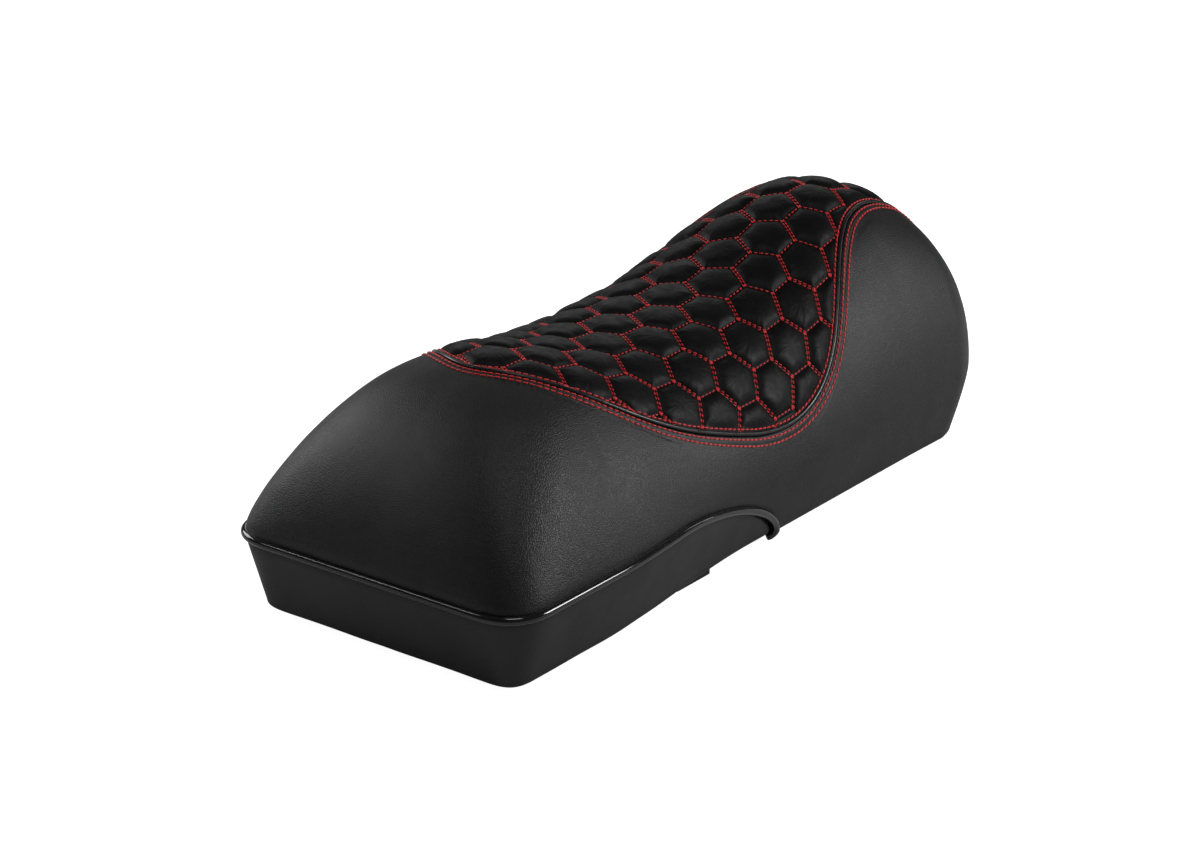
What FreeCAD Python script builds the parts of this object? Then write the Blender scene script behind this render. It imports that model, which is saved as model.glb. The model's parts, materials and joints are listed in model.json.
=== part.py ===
# Two-person scooter seat: sewn covers over a foam core on a moulded pan, front hinge, rear latch loop.
# Millimetres, +X to the front, +Y to the rider's left, +Z up, origin under the middle of the seat.
import FreeCAD, Part
import Sketcher
import math
import os
from FreeCAD import Placement, Rotation, Vector

os.makedirs("parts", exist_ok=True)
doc = FreeCAD.newDocument("scooter_seat")

# Driving sizes
sheet = doc.addObject("Spreadsheet::Sheet", "Sizes")
driving = (
    ("seat_length", 756, "length of the covers"),
    ("front_width", 305, "width across the nose"),
    ("waist_width", 272, "width at the rider and the passenger"),
    ("front_corner", 46, "plan radius of the front corners"),
    ("tail_corner", 92, "plan radius of the rear corners"),
    ("foot_height", 7, "clearance under the hem"),
    ("girth_height", 71, "height of the widest line"),
    ("nose_height", 216, "top of the nose"),
    ("dip_height", 196.5, "lowest point under the rider"),
    ("hump_height", 246, "top of the passenger hump"),
    ("nose_setback", 158, "where the nose starts to fall away, from the front end"),
    ("dip_setback", 311, "where the seat is lowest, from the front end"),
    ("hump_setback", 158, "where the hump is highest, from the rear end"),
    ("flare_setback", 358, "where the sides start to widen, from the front end"),
    ("flare_length", 230, "length over which the sides widen"),
    ("draft", 17, "tuck of the lower wall"),
    ("cover_thickness", 6, "padded cover with its backing"),
    ("stitch_depth", 2.5, "how far the stitch lines sink"),
    ("puff_height", 3.5, "how far the cells rise"),
    ("cell_pitch", 46, "distance between neighbouring cells"),
    ("panel_width", 259, "widest part of the quilted panel"),
    ("panel_tail", 95.5, "quilted panel over the hump"),
    ("panel_setback", 131, "quilted panel from the front end"),
    ("bead_radius", 2.6, "rolled edge round the panel"),
    ("welt_radius", 4, "glossy welt over the skirt"),
    ("skirt_top", 73, "height of the welt"),
    ("skirt_length", 396, "skirt from the front end"),
    ("skirt_fall", 168, "length over which the skirt falls to the hem"),
    ("skirt_thickness", 4, "wall of the skirt"),
    ("lip_width", 24, "hem turned in under the pan"),
    ("lip_thickness", 2, "hem turned in under the pan"),
    ("pan_front_gap", 40, "pan from the front end"),
    ("pan_rear_gap", 24, "pan from the rear end"),
    ("pan_side_gap", 27, "pan from the sides at the rider"),
    ("pan_corner", 72, "plan radius of the pan"),
    ("pan_wall", 4, "wall of the pan"),
    ("pan_depth", 19, "height of the pan"),
    ("rib_wall", 3, "ribs under the pan"),
    ("rib_depth", 9, "ribs under the pan"),
    ("rib_count", 9, "cross ribs under the pan"),
    ("rib_margin", 106, "end ribs from the ends of the pan"),
    ("rail_place", 56, "long ribs from the middle"),
    ("soft_gap", 2.5, "room between the foam and the covers"),
    ("pin_radius", 3, "hinge pin"),
    ("pin_play", 0.06, "running clearance of the hinge pin"),
    ("knuckle_radius", 6.2, "hinge barrel"),
    ("knuckle_gap", 0.4, "room between hinge knuckles"),
    ("leaf_thickness", 2.5, "hinge leaves"),
    ("leaf_width", 96, "hinge leaves"),
    ("leaf_reach", 58, "hinge leaves"),
    ("hinge_setback", 56, "hinge axis from the front end"),
    ("pin_head", 4.6, "radius of the pin head"),
    ("pin_head_height", 2.5, "height of the pin head"),
    ("pin_groove", 0.6, "depth of the groove for the clip"),
    ("clip_radius", 5.6, "retaining clip"),
    ("clip_thickness", 1, "retaining clip"),
    ("frame_spacing", 56, "bolt holes in the frame leaf"),
    ("frame_hole", 3.3, "radius of the frame bolt holes"),
    ("screw_radius", 2.5, "shank of the pan bolts"),
    ("screw_play", 0.2, "clearance round a shank"),
    ("screw_head", 4.5, "radius of the bolt heads"),
    ("screw_head_height", 3, "height of the bolt heads"),
    ("nut_height", 4, "nuts above the pan"),
    ("nut_radius", 4.6, "nuts across their corners"),
    ("nut_play", 0.05, "nuts on their bolts, clip in its groove"),
    ("hinge_bolts_along", 24, "pan bolts of the hinge"),
    ("hinge_bolts_across", 68, "pan bolts of the hinge"),
    ("backing_thickness", 2, "plates under the nuts"),
    ("plate_margin", 10, "backing plates beyond their bolts"),
    ("plate_corner", 5, "corners of small plates and pads"),
    ("loop_radius", 4, "latch loop rod"),
    ("loop_bend", 9, "bend of the latch loop"),
    ("loop_width", 44, "latch loop between leg centres"),
    ("loop_setback", 78, "latch loop from the rear end"),
    ("loop_drop", 16, "latch loop below its plate"),
    ("loop_plate_length", 44, "latch loop plate"),
    ("loop_plate_width", 78, "latch loop plate"),
    ("loop_bolts_along", 28, "pan bolts of the latch loop"),
    ("loop_bolts_across", 62, "pan bolts of the latch loop"),
    ("buffer_radius", 11, "round rubber buffers"),
    ("buffer_taper", 2, "round rubber buffers"),
    ("stem_radius", 4, "buffer stems"),
    ("stem_play", 0.1, "buffer stems in the pan"),
    ("front_buffer_setback", 93, "front buffers from the front end"),
    ("rear_buffer_setback", 116, "rear buffers from the rear end"),
    ("buffer_inset", 34, "buffers from the sides of the pan"),
    ("pad_length", 52, "rubber side pads"),
    ("pad_width", 15, "rubber side pads"),
    ("pad_setback", 282, "side pads from the front end"),
    ("pad_inset", 28, "side pads from the sides at the rider"),
)
for row, (alias, value, note) in enumerate(driving, start=1):
    sheet.set(f"A{row}", note)
    sheet.set(f"B{row}", str(value))
    sheet.setAlias(f"B{row}", alias)
doc.recompute()


def size(alias):
    return float(sheet.get(alias))


half_length = size("seat_length") / 2
girth = size("girth_height")
hem = size("foot_height")
draft = size("draft")
widest = max(size("front_width"), size("waist_width"))
nose_place = half_length - size("nose_setback")
dip_place = half_length - size("dip_setback")
hump_place = size("hump_setback") - half_length
pan_length = size("seat_length") - size("pan_front_gap") - size("pan_rear_gap")
pan_width = size("waist_width") - 2 * size("pan_side_gap")
pan_place = (size("pan_rear_gap") - size("pan_front_gap")) / 2
hinge_place = half_length - size("hinge_setback")
loop_place = size("loop_setback") - half_length
past = 20.0
made = {}


def keep(node, shape):
    # one closed sub-part as a document object
    feature = doc.addObject("Part::Feature", node)
    feature.Label = node
    feature.Shape = shape
    made[node] = feature
    return feature


def ease(value):
    part = min(max(value, 0.0), 1.0)
    return part * part * (3.0 - 2.0 * part)


# Facets: rings of points joined into closed skins


def triangle(a, b, c):
    return Part.Face(Part.makePolygon([a, b, c, a]))


def band(lower, upper):
    faces = []
    count = len(lower)
    for index in range(count):
        after = (index + 1) % count
        if index < count // 2:
            faces.append(triangle(lower[index], lower[after], upper[after]))
            faces.append(triangle(lower[index], upper[after], upper[index]))
        else:
            faces.append(triangle(lower[index], lower[after], upper[index]))
            faces.append(triangle(lower[after], upper[after], upper[index]))
    return faces


def fan(ring, centre):
    return [triangle(a, b, centre) for a, b in zip(ring, ring[1:] + ring[:1])]


def closed_solid(faces):
    shell = Part.Shell(faces)
    shell.sewShape()
    solid = Part.makeSolid(shell)
    if solid.Volume < 0:
        solid.reverse()
    return solid


def skinned(rings):
    # a solid through rings of equal count, with a flat face at either end
    faces = []
    for lower, upper in zip(rings, rings[1:]):
        faces += band(lower, upper)
    for ring in (rings[0], rings[-1]):
        faces.append(Part.Face(Part.makePolygon(ring + ring[:1])))
    return closed_solid(faces)


# Form of the upholstery: plan width, crown line and section at any station


def side_width(x):
    front = size("front_width") / 2
    waist = size("waist_width") / 2
    flare = x - half_length + size("flare_setback")
    return waist + (front - waist) * ease(flare / size("flare_length"))


# roundness of the plan corners: 2 is a quarter circle, more is squarer
front_power = 2.5
tail_power = 1.6


def plan_width(x, inset):
    corner = size("front_corner") if x > 0 else size("tail_corner")
    beyond = abs(x) - (half_length - corner)
    width = side_width(x) - inset
    if beyond <= 0:
        return width
    radius = corner - inset
    power = front_power if x > 0 else tail_power
    return width - radius + radius * (1 - min(beyond / radius, 1.0) ** power) ** (1 / power)


def crown_height(x, inset):
    nose = size("nose_height")
    dip = size("dip_height")
    hump = size("hump_height")
    end = half_length - inset + 1.5
    if x >= nose_place:
        fall = (x - nose_place) / (end - nose_place)
        return girth + (nose - girth - inset) * (1 - fall ** 2.18) ** (1 / 1.58)
    if x <= hump_place:
        fall = (hump_place - x) / (end + hump_place)
        return girth + (hump - girth - inset) * (1 - fall ** 1.9) ** (1 / 2.16)
    if x >= dip_place:
        rise = ((x - dip_place) / (nose_place - dip_place)) ** 1.34
        return dip - inset + (nose - dip) * ease(rise)
    rise = ((dip_place - x) / (dip_place - hump_place)) ** 1.56
    return dip - inset + (hump - dip) * ease(rise)


def section_powers(x):
    # roundness of the section: tail, hump, rider, nose, front
    places = (-half_length, hump_place, dip_place - 30, nose_place, half_length)
    across = (2.12, 1.89, 2.63, 2.29, 3.02)
    up = (2.31, 2.0, 1.77, 1.5, 1.58)
    for start in range(4):
        if x <= places[start + 1]:
            break
    share = (x - places[start]) / (places[start + 1] - places[start])
    share = min(max(share, 0.0), 1.0)
    return (across[start] + share * (across[start + 1] - across[start]),
            up[start] + share * (up[start + 1] - up[start]))


def cover_height(x, y, inset=0.0):
    share = min(abs(y) / plan_width(x, inset), 1.0)
    across, up = section_powers(x)
    return girth + (crown_height(x, inset) - girth) * (1 - share ** across) ** (1 / up)


def section_ring(x, inset, shares, bottom):
    width = plan_width(x, inset)
    half = []
    for drop in (1.0, 0.5):
        half.append((width - draft * drop ** 1.3, girth - drop * (girth - bottom)))
    for share in shares:
        half.append((width * share, cover_height(x, width * share, inset)))
    points = [Vector(x, -y, z) for y, z in half]
    points.append(Vector(x, 0, crown_height(x, inset)))
    points += [Vector(x, y, z) for y, z in reversed(half)]
    return points


def form_stations(inset, steps):
    end = half_length - inset
    nose_run = 97
    tail_run = 110
    turn = [math.radians(90 * step / 5) for step in range(6)]
    front = [end - nose_run * (1 - math.cos(angle)) for angle in turn]
    tail = [-end + tail_run * (1 - math.cos(angle)) for angle in reversed(turn)]
    reach = front[-1] - tail[0]
    middle = [front[-1] - reach * step / steps for step in range(1, steps)]
    return front + middle + tail


fine_shares = (1.0, 0.98, 0.93, 0.85, 0.75, 0.62, 0.48, 0.32, 0.16)
plain_shares = (1.0, 0.95, 0.84, 0.68, 0.47, 0.24)


def form(inset, shares, steps, bottom):
    return skinned([section_ring(x, inset, shares, bottom) for x in form_stations(inset, steps)])


# Seam between the quilted panel and the wrap cover, as a plan curve
panel_half = size("panel_width") / 2
panel_tail = size("panel_tail") / 2
panel_front = half_length - size("panel_setback")
panel_reach = panel_front + half_length
wide_places = ((0.0, 0.0), (0.042, 0.44), (0.141, 0.779), (0.301, 0.958), (0.445, 1.0), (0.557, 0.909),
               (0.637, 0.691))
tail_places = ((0.733, 1.207), (0.844, 1.0), (0.92, 1.0))


def seam_half():
    points = [(panel_front - panel_reach * away, panel_half * share) for away, share in wide_places]
    points += [(panel_front - panel_reach * away, panel_tail * share) for away, share in tail_places]
    points.append((-half_length - past, panel_tail))
    return points


def seam_curve():
    half = seam_half()
    points = [Vector(x, -y, 0) for x, y in reversed(half[1:])]
    points += [Vector(x, y, 0) for x, y in half]
    curve = Part.BSplineCurve()
    curve.interpolate(points)
    return curve


seam = seam_curve()


def seam_samples(count):
    first = seam.FirstParameter
    last = seam.LastParameter
    middle = (first + last) / 2
    return [middle + (last - middle) * step / count for step in range(count + 1)]


def on_form(x, y):
    return max(min(x, half_length - 0.6), -half_length + 0.6), y


def slope_along(x, y, way):
    step = 0.4
    ax, ay = on_form(x - way.x * step, y - way.y * step)
    bx, by = on_form(x + way.x * step, y + way.y * step)
    return (cover_height(bx, by) - cover_height(ax, ay)) / (2 * step)


def seam_offset(distance, count=44):
    # the seam moved sideways over the surface by a distance, half of it
    points = []
    for parameter in seam_samples(count):
        place = seam.value(parameter)
        tangent = seam.tangent(parameter)[0]
        out = Vector(tangent.y, -tangent.x, 0)
        if out.y < 0 or (abs(place.y) < 0.01 and out.x < 0):
            out = out * -1
        reach = 1.0
        if place.x > -half_length + 2:
            steep = slope_along(place.x, place.y, out)
            climb = slope_along(place.x, place.y, tangent)
            reach = math.sqrt(1 + steep ** 2 - (steep * climb) ** 2 / (1 + climb ** 2))
        moved = place + out * (distance / reach)
        points.append((moved.x, max(moved.y, 0.0)))
    points[0] = (points[0][0], 0.0)
    return points


def seam_prism(distance):
    half = seam_offset(distance)
    points = [Vector(x, -y, 0) for x, y in reversed(half[1:])]
    points += [Vector(x, y, 0) for x, y in half]
    curve = Part.BSplineCurve()
    curve.interpolate(points)
    closing = Part.makeLine(points[-1], points[0])
    face = Part.Face(Part.Wire([curve.toShape(), closing]))
    return face.extrude(Vector(0, 0, size("hump_height") + past))


# Plan outline of the lower wall at the front half, as a ring of points


def front_turn(radius, angle):
    # place on a rounded front corner, from the nose to the side, and the way out of it
    across = math.sin(angle)
    ahead = math.cos(angle)
    place = Vector(radius * ahead ** (2 / front_power), radius * across ** (2 / front_power), 0)
    out = Vector(ahead ** (2 - 2 / front_power), across ** (2 - 2 / front_power), 0)
    return place, out.normalize()


def lower_ring(inset, z, back):
    corner = size("front_corner") - inset
    start = half_length - size("front_corner")
    flat = side_width(start) - inset - corner
    left = []
    for step in range(6):
        x = back + (start - back) * step / 6
        left.append(Vector(x, side_width(x) - inset, z))
    for step in range(9):
        place, out = front_turn(corner, math.radians(90 - 90 * step / 8))
        left.append(Vector(start, flat, z) + place)
    return left + [Vector(point.x, -point.y, z) for point in reversed(left)]


skirt_top = size("skirt_top")
skirt_end = half_length - size("skirt_length")
welt = size("welt_radius")


def skirt_line(lift, reach):
    # side view of the skirt's upper edge, falling to the hem at its rear end
    level = skirt_top + lift
    tail = skirt_end - reach
    fall = size("skirt_fall")
    points = [Vector(tail + fall * step / 8, 0, 0) for step in range(9)]
    for point in points:
        share = (tail + fall - point.x) / fall
        point.z = hem + (level - hem) * (1 - share ** 1.7) ** 0.62
    curve = Part.BSplineCurve()
    curve.interpolate(points)
    return curve, points


def skirt_block(lift, reach):
    # everything below the skirt's upper edge, from its rear end to past the nose
    curve, points = skirt_line(lift, reach)
    nose = half_length + past
    corners = [points[-1], Vector(nose, 0, points[-1].z), Vector(nose, 0, -past)]
    corners += [Vector(points[0].x, 0, -past), points[0]]
    edges = [curve.toShape()]
    edges += [Part.makeLine(a, b) for a, b in zip(corners, corners[1:])]
    face = Part.Face(Part.Wire(edges))
    face.translate(Vector(0, -widest / 2 - past, 0))
    return face.extrude(Vector(0, widest + 2 * past, 0))


# Covers and foam
cover = size("cover_thickness")
outer_form = form(0.0, fine_shares, 15, hem)
inner_form = form(cover, plain_shares, 11, hem - 6)
wrap = outer_form.cut(inner_form)
groove = size("bead_radius") + 0.5
wrap = wrap.cut(seam_prism(groove))
wrap = wrap.cut(skirt_block(welt + 0.4, welt + 0.4))
lip = size("lip_thickness")
lip_width = size("lip_width")
wall = size("skirt_thickness")


def hem_ring():
    # hem turned in under the pan, cut later into a front and a rear length
    places = [x for x in form_stations(0.0, 13) if x < skirt_end + 40]
    outside = [(x, plan_width(x, 0.0) - draft - 2) for x in places]
    left = [Vector(x, y, hem) for x, y in outside]
    right = [Vector(x, -y, hem) for x, y in reversed(outside)]
    rear = Part.Face(Part.makePolygon(left + right + [left[0]]))
    ring = lower_ring(draft + wall - 1, hem, skirt_end)
    front = Part.Face(Part.makePolygon(ring + ring[:1]))
    hole_length = pan_length - 2 * lip_width
    hole_width = pan_width - 2 * lip_width
    depth = hem + lip + past
    hole_start = Vector(pan_place - hole_length / 2, -hole_width / 2, 0)
    hole = Part.makeBox(hole_length, hole_width, depth, hole_start)
    reach = size("leaf_reach")
    notch_width = size("leaf_width") + 2 * size("knuckle_radius")
    notch_start = Vector(hinge_place + 2 * size("knuckle_radius") - reach, -notch_width / 2, 0)
    hole = hole.fuse(Part.makeBox(reach, notch_width, depth, notch_start))
    length = 2 * half_length
    split = 0.5
    rear_box = Part.makeBox(length, widest, depth, Vector(skirt_end - split - length, -widest / 2, 0))
    front_box = Part.makeBox(length, widest, depth, Vector(skirt_end + split, -widest / 2, 0))
    rise = Vector(0, 0, lip)
    rear_length = rear.extrude(rise).cut(hole).common(rear_box)
    front_length = front.extrude(rise).cut(hole).common(front_box)
    return front_length, rear_length


front_hem, rear_hem = hem_ring()
wrap = wrap.fuse(rear_hem)
keep("wrap_cover", wrap)
doc.recompute()

# Front skirt, drafted in to the hem, with its rolled lower edge
back = skirt_end - 8


def skirt_form(inset, low, high):
    hem_roll = 4.0
    top_inset = 0.6
    levels = ((low, draft + 3.5), (low + hem_roll, draft), (high, top_inset))
    return skinned([lower_ring(inset + tuck, z, back) for z, tuck in levels])


skirt = skirt_form(0.0, hem, skirt_top)
skirt = skirt.cut(skirt_form(wall, hem - 4, skirt_top + 4))
skirt = skirt.common(skirt_block(-welt - 0.6, -welt - 2.4))
skirt = skirt.fuse(front_hem)
keep("skirt", skirt)

# Quilted panel: honeycomb cells laid out flat, then carried onto the crowned form
valley = -size("stitch_depth")
puff = size("puff_height")
pitch = size("cell_pitch")
foot = hem + lip + 0.6


def panel_line():
    # centre line of the panel from its front end over the hump and down the back
    line = []
    x = panel_front
    while x > -half_length + 0.8:
        line.append((x, crown_height(x, 0.0)))
        x -= 2.0 if x > -half_length + 20 else 0.6
    z = line[-1][1]
    while z > foot + 6:
        line.append((-half_length, z))
        z -= 4.0
    line.append((-half_length, foot))
    run = [0.0]
    for (ax, az), (bx, bz) in zip(line, line[1:]):
        run.append(run[-1] + math.hypot(bx - ax, bz - az))
    return line, run


line, run = panel_line()
tail_blend = 40.0


def along(distance):
    if distance <= 0:
        return line[0][0] - distance, None
    for index in range(1, len(run)):
        if run[index] >= distance:
            break
    share = (distance - run[index - 1]) / (run[index] - run[index - 1])
    (ax, az), (bx, bz) = line[index - 1], line[index]
    x = ax + share * (bx - ax)
    return x, az + share * (bz - az)


def across_to(x, reach):
    # sideways place whose run over the section equals the reach
    step = 1.5
    y = 0.0
    gone = 0.0
    while True:
        rise = cover_height(x, y + step) - cover_height(x, y)
        piece = math.hypot(step, rise)
        if gone + piece >= reach:
            return y + step * (reach - gone) / piece
        gone += piece
        y += step


def sideways(x, reach):
    # over the section on top of the seat, straight across on its back
    tail = ease(1 - (x + half_length) / tail_blend)
    return across_to(x, reach) * (1 - tail) + reach * tail


def reach_of(x, y):
    low = y
    high = 2 * y + 1
    for step in range(24):
        middle = (low + high) / 2
        if sideways(x, middle) < y:
            low = middle
        else:
            high = middle
    return (low + high) / 2


def carried(distance, reach, lift):
    # flat place on the panel carried onto the form, lifted along the surface normal
    x, z = along(distance)
    if x <= -half_length + 0.9:
        return Vector(-half_length - lift, reach, z)
    y = math.copysign(sideways(x, abs(reach)), reach)
    step = 0.3
    run_x = (cover_height(x + step, y) - cover_height(x - step, y)) / (2 * step)
    run_y = (cover_height(x, y + step) - cover_height(x, y - step)) / (2 * step)
    normal = Vector(-run_x, -run_y, 1.0).normalize()
    return Vector(x, y, cover_height(x, y)) + normal * lift


def panel_border():
    half = []
    for x, y in seam_offset(-groove, 30):
        if x > -half_length + 3:
            index = min(range(len(line)), key=lambda place: abs(line[place][0] - x))
            half.append((run[index] + line[index][0] - x, reach_of(x, y)))
    half.append((run[-1], half[-1][1]))
    return half + [(distance, -reach) for distance, reach in reversed(half) if reach > 0]


def trimmed(polygon, inside, cross):
    kept = []
    for a, b in zip(polygon, polygon[1:] + polygon[:1]):
        if inside(a):
            kept.append(a)
        if inside(a) != inside(b):
            kept.append(cross(a, b))
    return kept


corners_found = []
least_edge = 2.0


def settled(point):
    # corners closer together than the least edge are one corner
    for corner in corners_found:
        if math.hypot(corner[0] - point[0], corner[1] - point[1]) < least_edge:
            return corner
    corners_found.append(point)
    return point


def cell_piece(border, centre):
    # the part of the panel inside one honeycomb cell
    piece = border
    for side in range(6):
        angle = math.radians(60 * side)
        nx = math.sin(angle)
        ny = math.cos(angle)

        def depth(point):
            return (point[0] - centre[0]) * nx + (point[1] - centre[1]) * ny - pitch / 2

        def cross(a, b):
            share = depth(a) / (depth(a) - depth(b))
            return (a[0] + share * (b[0] - a[0]), a[1] + share * (b[1] - a[1]))

        piece = trimmed(piece, lambda point: depth(point) <= 0, cross)
        if len(piece) < 3:
            return []
    tidy = []
    for point in piece:
        corner = settled(point)
        if corner not in tidy:
            tidy.append(corner)
    return tidy if len(tidy) > 2 else []


def middle_of(polygon):
    area = 0.0
    mx = 0.0
    my = 0.0
    for (ax, ay), (bx, by) in zip(polygon, polygon[1:] + polygon[:1]):
        part = ax * by - bx * ay
        area += part / 2
        mx += (ax + bx) * part / 6
        my += (ay + by) * part / 6
    return (mx / area, my / area), abs(area)


def shrunk(polygon, centre, share):
    return [(centre[0] + (x - centre[0]) * share, centre[1] + (y - centre[1]) * share) for x, y in polygon]


border = panel_border()
whole_cell = pitch ** 2 * math.sqrt(3) / 2
row_gap = pitch * math.sqrt(3) / 2
row_place = hump_place + 107
first_row = run[min(range(len(line)), key=lambda place: abs(line[place][0] - row_place))] % (2 * row_gap)
known = {}


def fixed(point, lift):
    # neighbouring cells share the very same corner
    key = (round(point[0], 3), round(point[1], 3), lift)
    if key not in known:
        known[key] = carried(point[0], point[1], lift)
    return known[key]


quilt_faces = []
edges_seen = {}
for row in range(-2, int(run[-1] / row_gap) + 3):
    shift = 0.5 * (row % 2)
    for place in range(-4, 5):
        centre = (first_row + row * row_gap, (place + shift) * pitch)
        piece = cell_piece(border, centre)
        if not piece:
            continue
        middle, area = middle_of(piece)
        stitched = [fixed(point, valley) for point in piece]
        under = [fixed(point, -cover) for point in piece]
        quilt_faces += fan(under, carried(middle[0], middle[1], -cover))
        fullness = min(area / whole_cell * 1.6, 1.0)
        if fullness < 0.25:
            quilt_faces += fan(stitched, carried(middle[0], middle[1], valley))
        else:
            shoulder = [carried(x, y, puff * 0.35 * fullness) for x, y in shrunk(piece, middle, 0.87)]
            top = [carried(x, y, puff * fullness) for x, y in shrunk(piece, middle, 0.55)]
            quilt_faces += band(stitched, shoulder)
            quilt_faces += band(shoulder, top)
            quilt_faces += fan(top, carried(middle[0], middle[1], puff * 1.12 * fullness))
        for a, b in zip(piece, piece[1:] + piece[:1]):
            ends = tuple(sorted(((round(a[0], 3), round(a[1], 3)), (round(b[0], 3), round(b[1], 3)))))
            edges_seen[ends] = None if ends in edges_seen else (a, b)
for pair in edges_seen.values():
    if pair:
        a, b = pair
        quilt_faces.append(triangle(fixed(a, valley), fixed(b, valley), fixed(b, -cover)))
        quilt_faces.append(triangle(fixed(a, valley), fixed(b, -cover), fixed(a, -cover)))
quilt = closed_solid(quilt_faces)
keep("quilted_top", quilt)

# Tubes laid along the covers: the rolled bead in the panel seam and the glossy welt


def laid_tube(path, outs, radius, sides):
    rings = []
    for index, centre in enumerate(path):
        ahead = path[min(index + 1, len(path) - 1)]
        behind = path[max(index - 1, 0)]
        way = (ahead - behind).normalize()
        out = (outs[index] - way * outs[index].dot(way)).normalize()
        side = way.cross(out)
        ring = []
        for step in range(sides):
            angle = 2 * math.pi * step / sides
            ring.append(centre + out * (radius * math.cos(angle)) + side * (radius * math.sin(angle)))
        rings.append(ring)
    faces = []
    for lower, upper in zip(rings, rings[1:]):
        faces += band(lower, upper)
    faces += fan(rings[0], path[0])
    faces += fan(rings[-1], path[-1])
    return closed_solid(faces)


def mirrored_path(half, outs):
    # a path from the middle outwards, with its mirror image ahead of it
    path = [Vector(point.x, -point.y, point.z) for point in reversed(half[1:])] + half
    both = [Vector(out.x, -out.y, out.z) for out in reversed(outs[1:])] + outs
    return path, both


def bead_path(sunk):
    # along the seam, over the tail in closer steps, then straight down the back
    places = [place for place in seam_offset(0.0, 34) if place[0] > -half_length + 30]
    places += [(-half_length + away, panel_tail) for away in (22, 14, 8, 4, 1.2)]
    half = []
    outs = []
    step = 0.3
    for x, y in places:
        run_x = (cover_height(x + step, y) - cover_height(x - step, y)) / (2 * step)
        run_y = (cover_height(x, y + step) - cover_height(x, y - step)) / (2 * step)
        normal = Vector(-run_x, -run_y, 1.0).normalize()
        half.append(Vector(x, y, cover_height(x, y)) - normal * sunk)
        outs.append(normal)
    top = half[-1].z - 6
    for step in range(4):
        half.append(Vector(-half_length + sunk, panel_tail, top + (foot - top) * step / 3))
        outs.append(Vector(-1, 0, 0))
    return mirrored_path(half, outs)


bead_line, bead_outs = bead_path(1.0)
keep("seam_bead", laid_tube(bead_line, bead_outs, size("bead_radius"), 5))


def wall_tuck(z):
    drop = min(max((girth - z) / (girth - hem), 0.0), 1.0)
    return draft * drop ** 1.2


def welt_path(sunk):
    # round the nose at the skirt's top, then down the skirt's edge to the hem
    half = []
    outs = []
    corner = size("front_corner")
    start = half_length - corner
    flat = side_width(start) - corner
    for step in range(3):
        half.append(Vector(half_length - sunk, flat * step / 3, skirt_top))
        outs.append(Vector(1, 0, 0))
    for step in range(9):
        place, out = front_turn(corner, math.radians(90 * step / 8))
        half.append(Vector(start, flat, skirt_top) + place - out * sunk)
        outs.append(out)
    curve, ends = skirt_line(0.0, 0.0)
    for step in range(1, 5):
        x = start + (ends[-1].x - start) * step / 5
        half.append(Vector(x, side_width(x) - sunk, skirt_top))
        outs.append(Vector(0, 1, 0))
    for step in range(11):
        parameter = curve.LastParameter + (curve.FirstParameter - curve.LastParameter) * step / 10
        place = curve.value(parameter)
        level = max(place.z, hem + welt)
        half.append(Vector(place.x, side_width(place.x) - wall_tuck(level) - sunk, level))
        outs.append(Vector(0, 1, 0))
    return mirrored_path(half, outs)


welt_line, welt_outs = welt_path(welt - 2)
keep("skirt_welt", laid_tube(welt_line, welt_outs, welt, 7))

# Foam core on the pan, with room for the plates and nuts
pan_top = hem + lip + size("pan_depth")
foam_inset = cover + size("soft_gap")
foam = form(foam_inset, plain_shares, 11, hem)
pan_corner = Vector(-half_length, -widest / 2, pan_top)
foam = foam.common(Part.makeBox(2 * half_length, widest, size("hump_height"), pan_corner))
skirt_room = Part.makeBox(half_length - back, widest, skirt_top - pan_top + past,
                          Vector(back + 6, -widest / 2, pan_top - past))
skirt_room = skirt_room.cut(skirt_form(wall + size("soft_gap"), hem - 2, skirt_top + 1))
foam = foam.cut(skirt_room)
stack = size("backing_thickness") + size("nut_height") + 2
hinge_middle = hinge_place - size("leaf_reach") / 2 - size("knuckle_radius") / 2
for place, along_size, across_size in (
        (hinge_middle, size("hinge_bolts_along"), size("hinge_bolts_across")),
        (loop_place, size("loop_bolts_along"), size("loop_bolts_across"))):
    room_x = along_size + 2 * (size("plate_margin") + 2)
    room_y = across_size + 2 * (size("plate_margin") + 2)
    foam = foam.cut(Part.makeBox(room_x, room_y, stack, Vector(place - room_x / 2, -room_y / 2, pan_top)))
keep("foam_core", foam)

# Bound pieces: bodies, primitives and groups that follow the sheet
pan_top_level = "(Sizes.foot_height + Sizes.lip_thickness + Sizes.pan_depth)"
pan_under_level = f"({pan_top_level} - Sizes.pan_wall)"
plate_level = f"({pan_under_level} - Sizes.leaf_thickness)"
axis_level = f"({pan_under_level} - Sizes.knuckle_radius)"
front_end = "(Sizes.seat_length / 2)"
hinge_axis = f"({front_end} - Sizes.hinge_setback)"
hinge_middle_place = f"({hinge_axis} - Sizes.leaf_reach / 2 - Sizes.knuckle_radius / 2)"
loop_middle = f"(Sizes.loop_setback - {front_end})"
pan_run = "(Sizes.seat_length - Sizes.pan_front_gap - Sizes.pan_rear_gap)"
pan_span = "(Sizes.waist_width - 2 * Sizes.pan_side_gap)"
pan_middle = "((Sizes.pan_rear_gap - Sizes.pan_front_gap) / 2)"
rib_run = f"({pan_run} - 2 * Sizes.rib_margin)"
buffer_side = f"({pan_span} / 2 - Sizes.buffer_inset)"
buffer_lines = {
    "front_buffers": f"({front_end} - Sizes.front_buffer_setback)",
    "rear_buffers": f"(Sizes.rear_buffer_setback - {front_end})",
}


def bind(feature, links):
    for name, expression in links.items():
        feature.setExpression(name, expression)
    return feature


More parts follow.
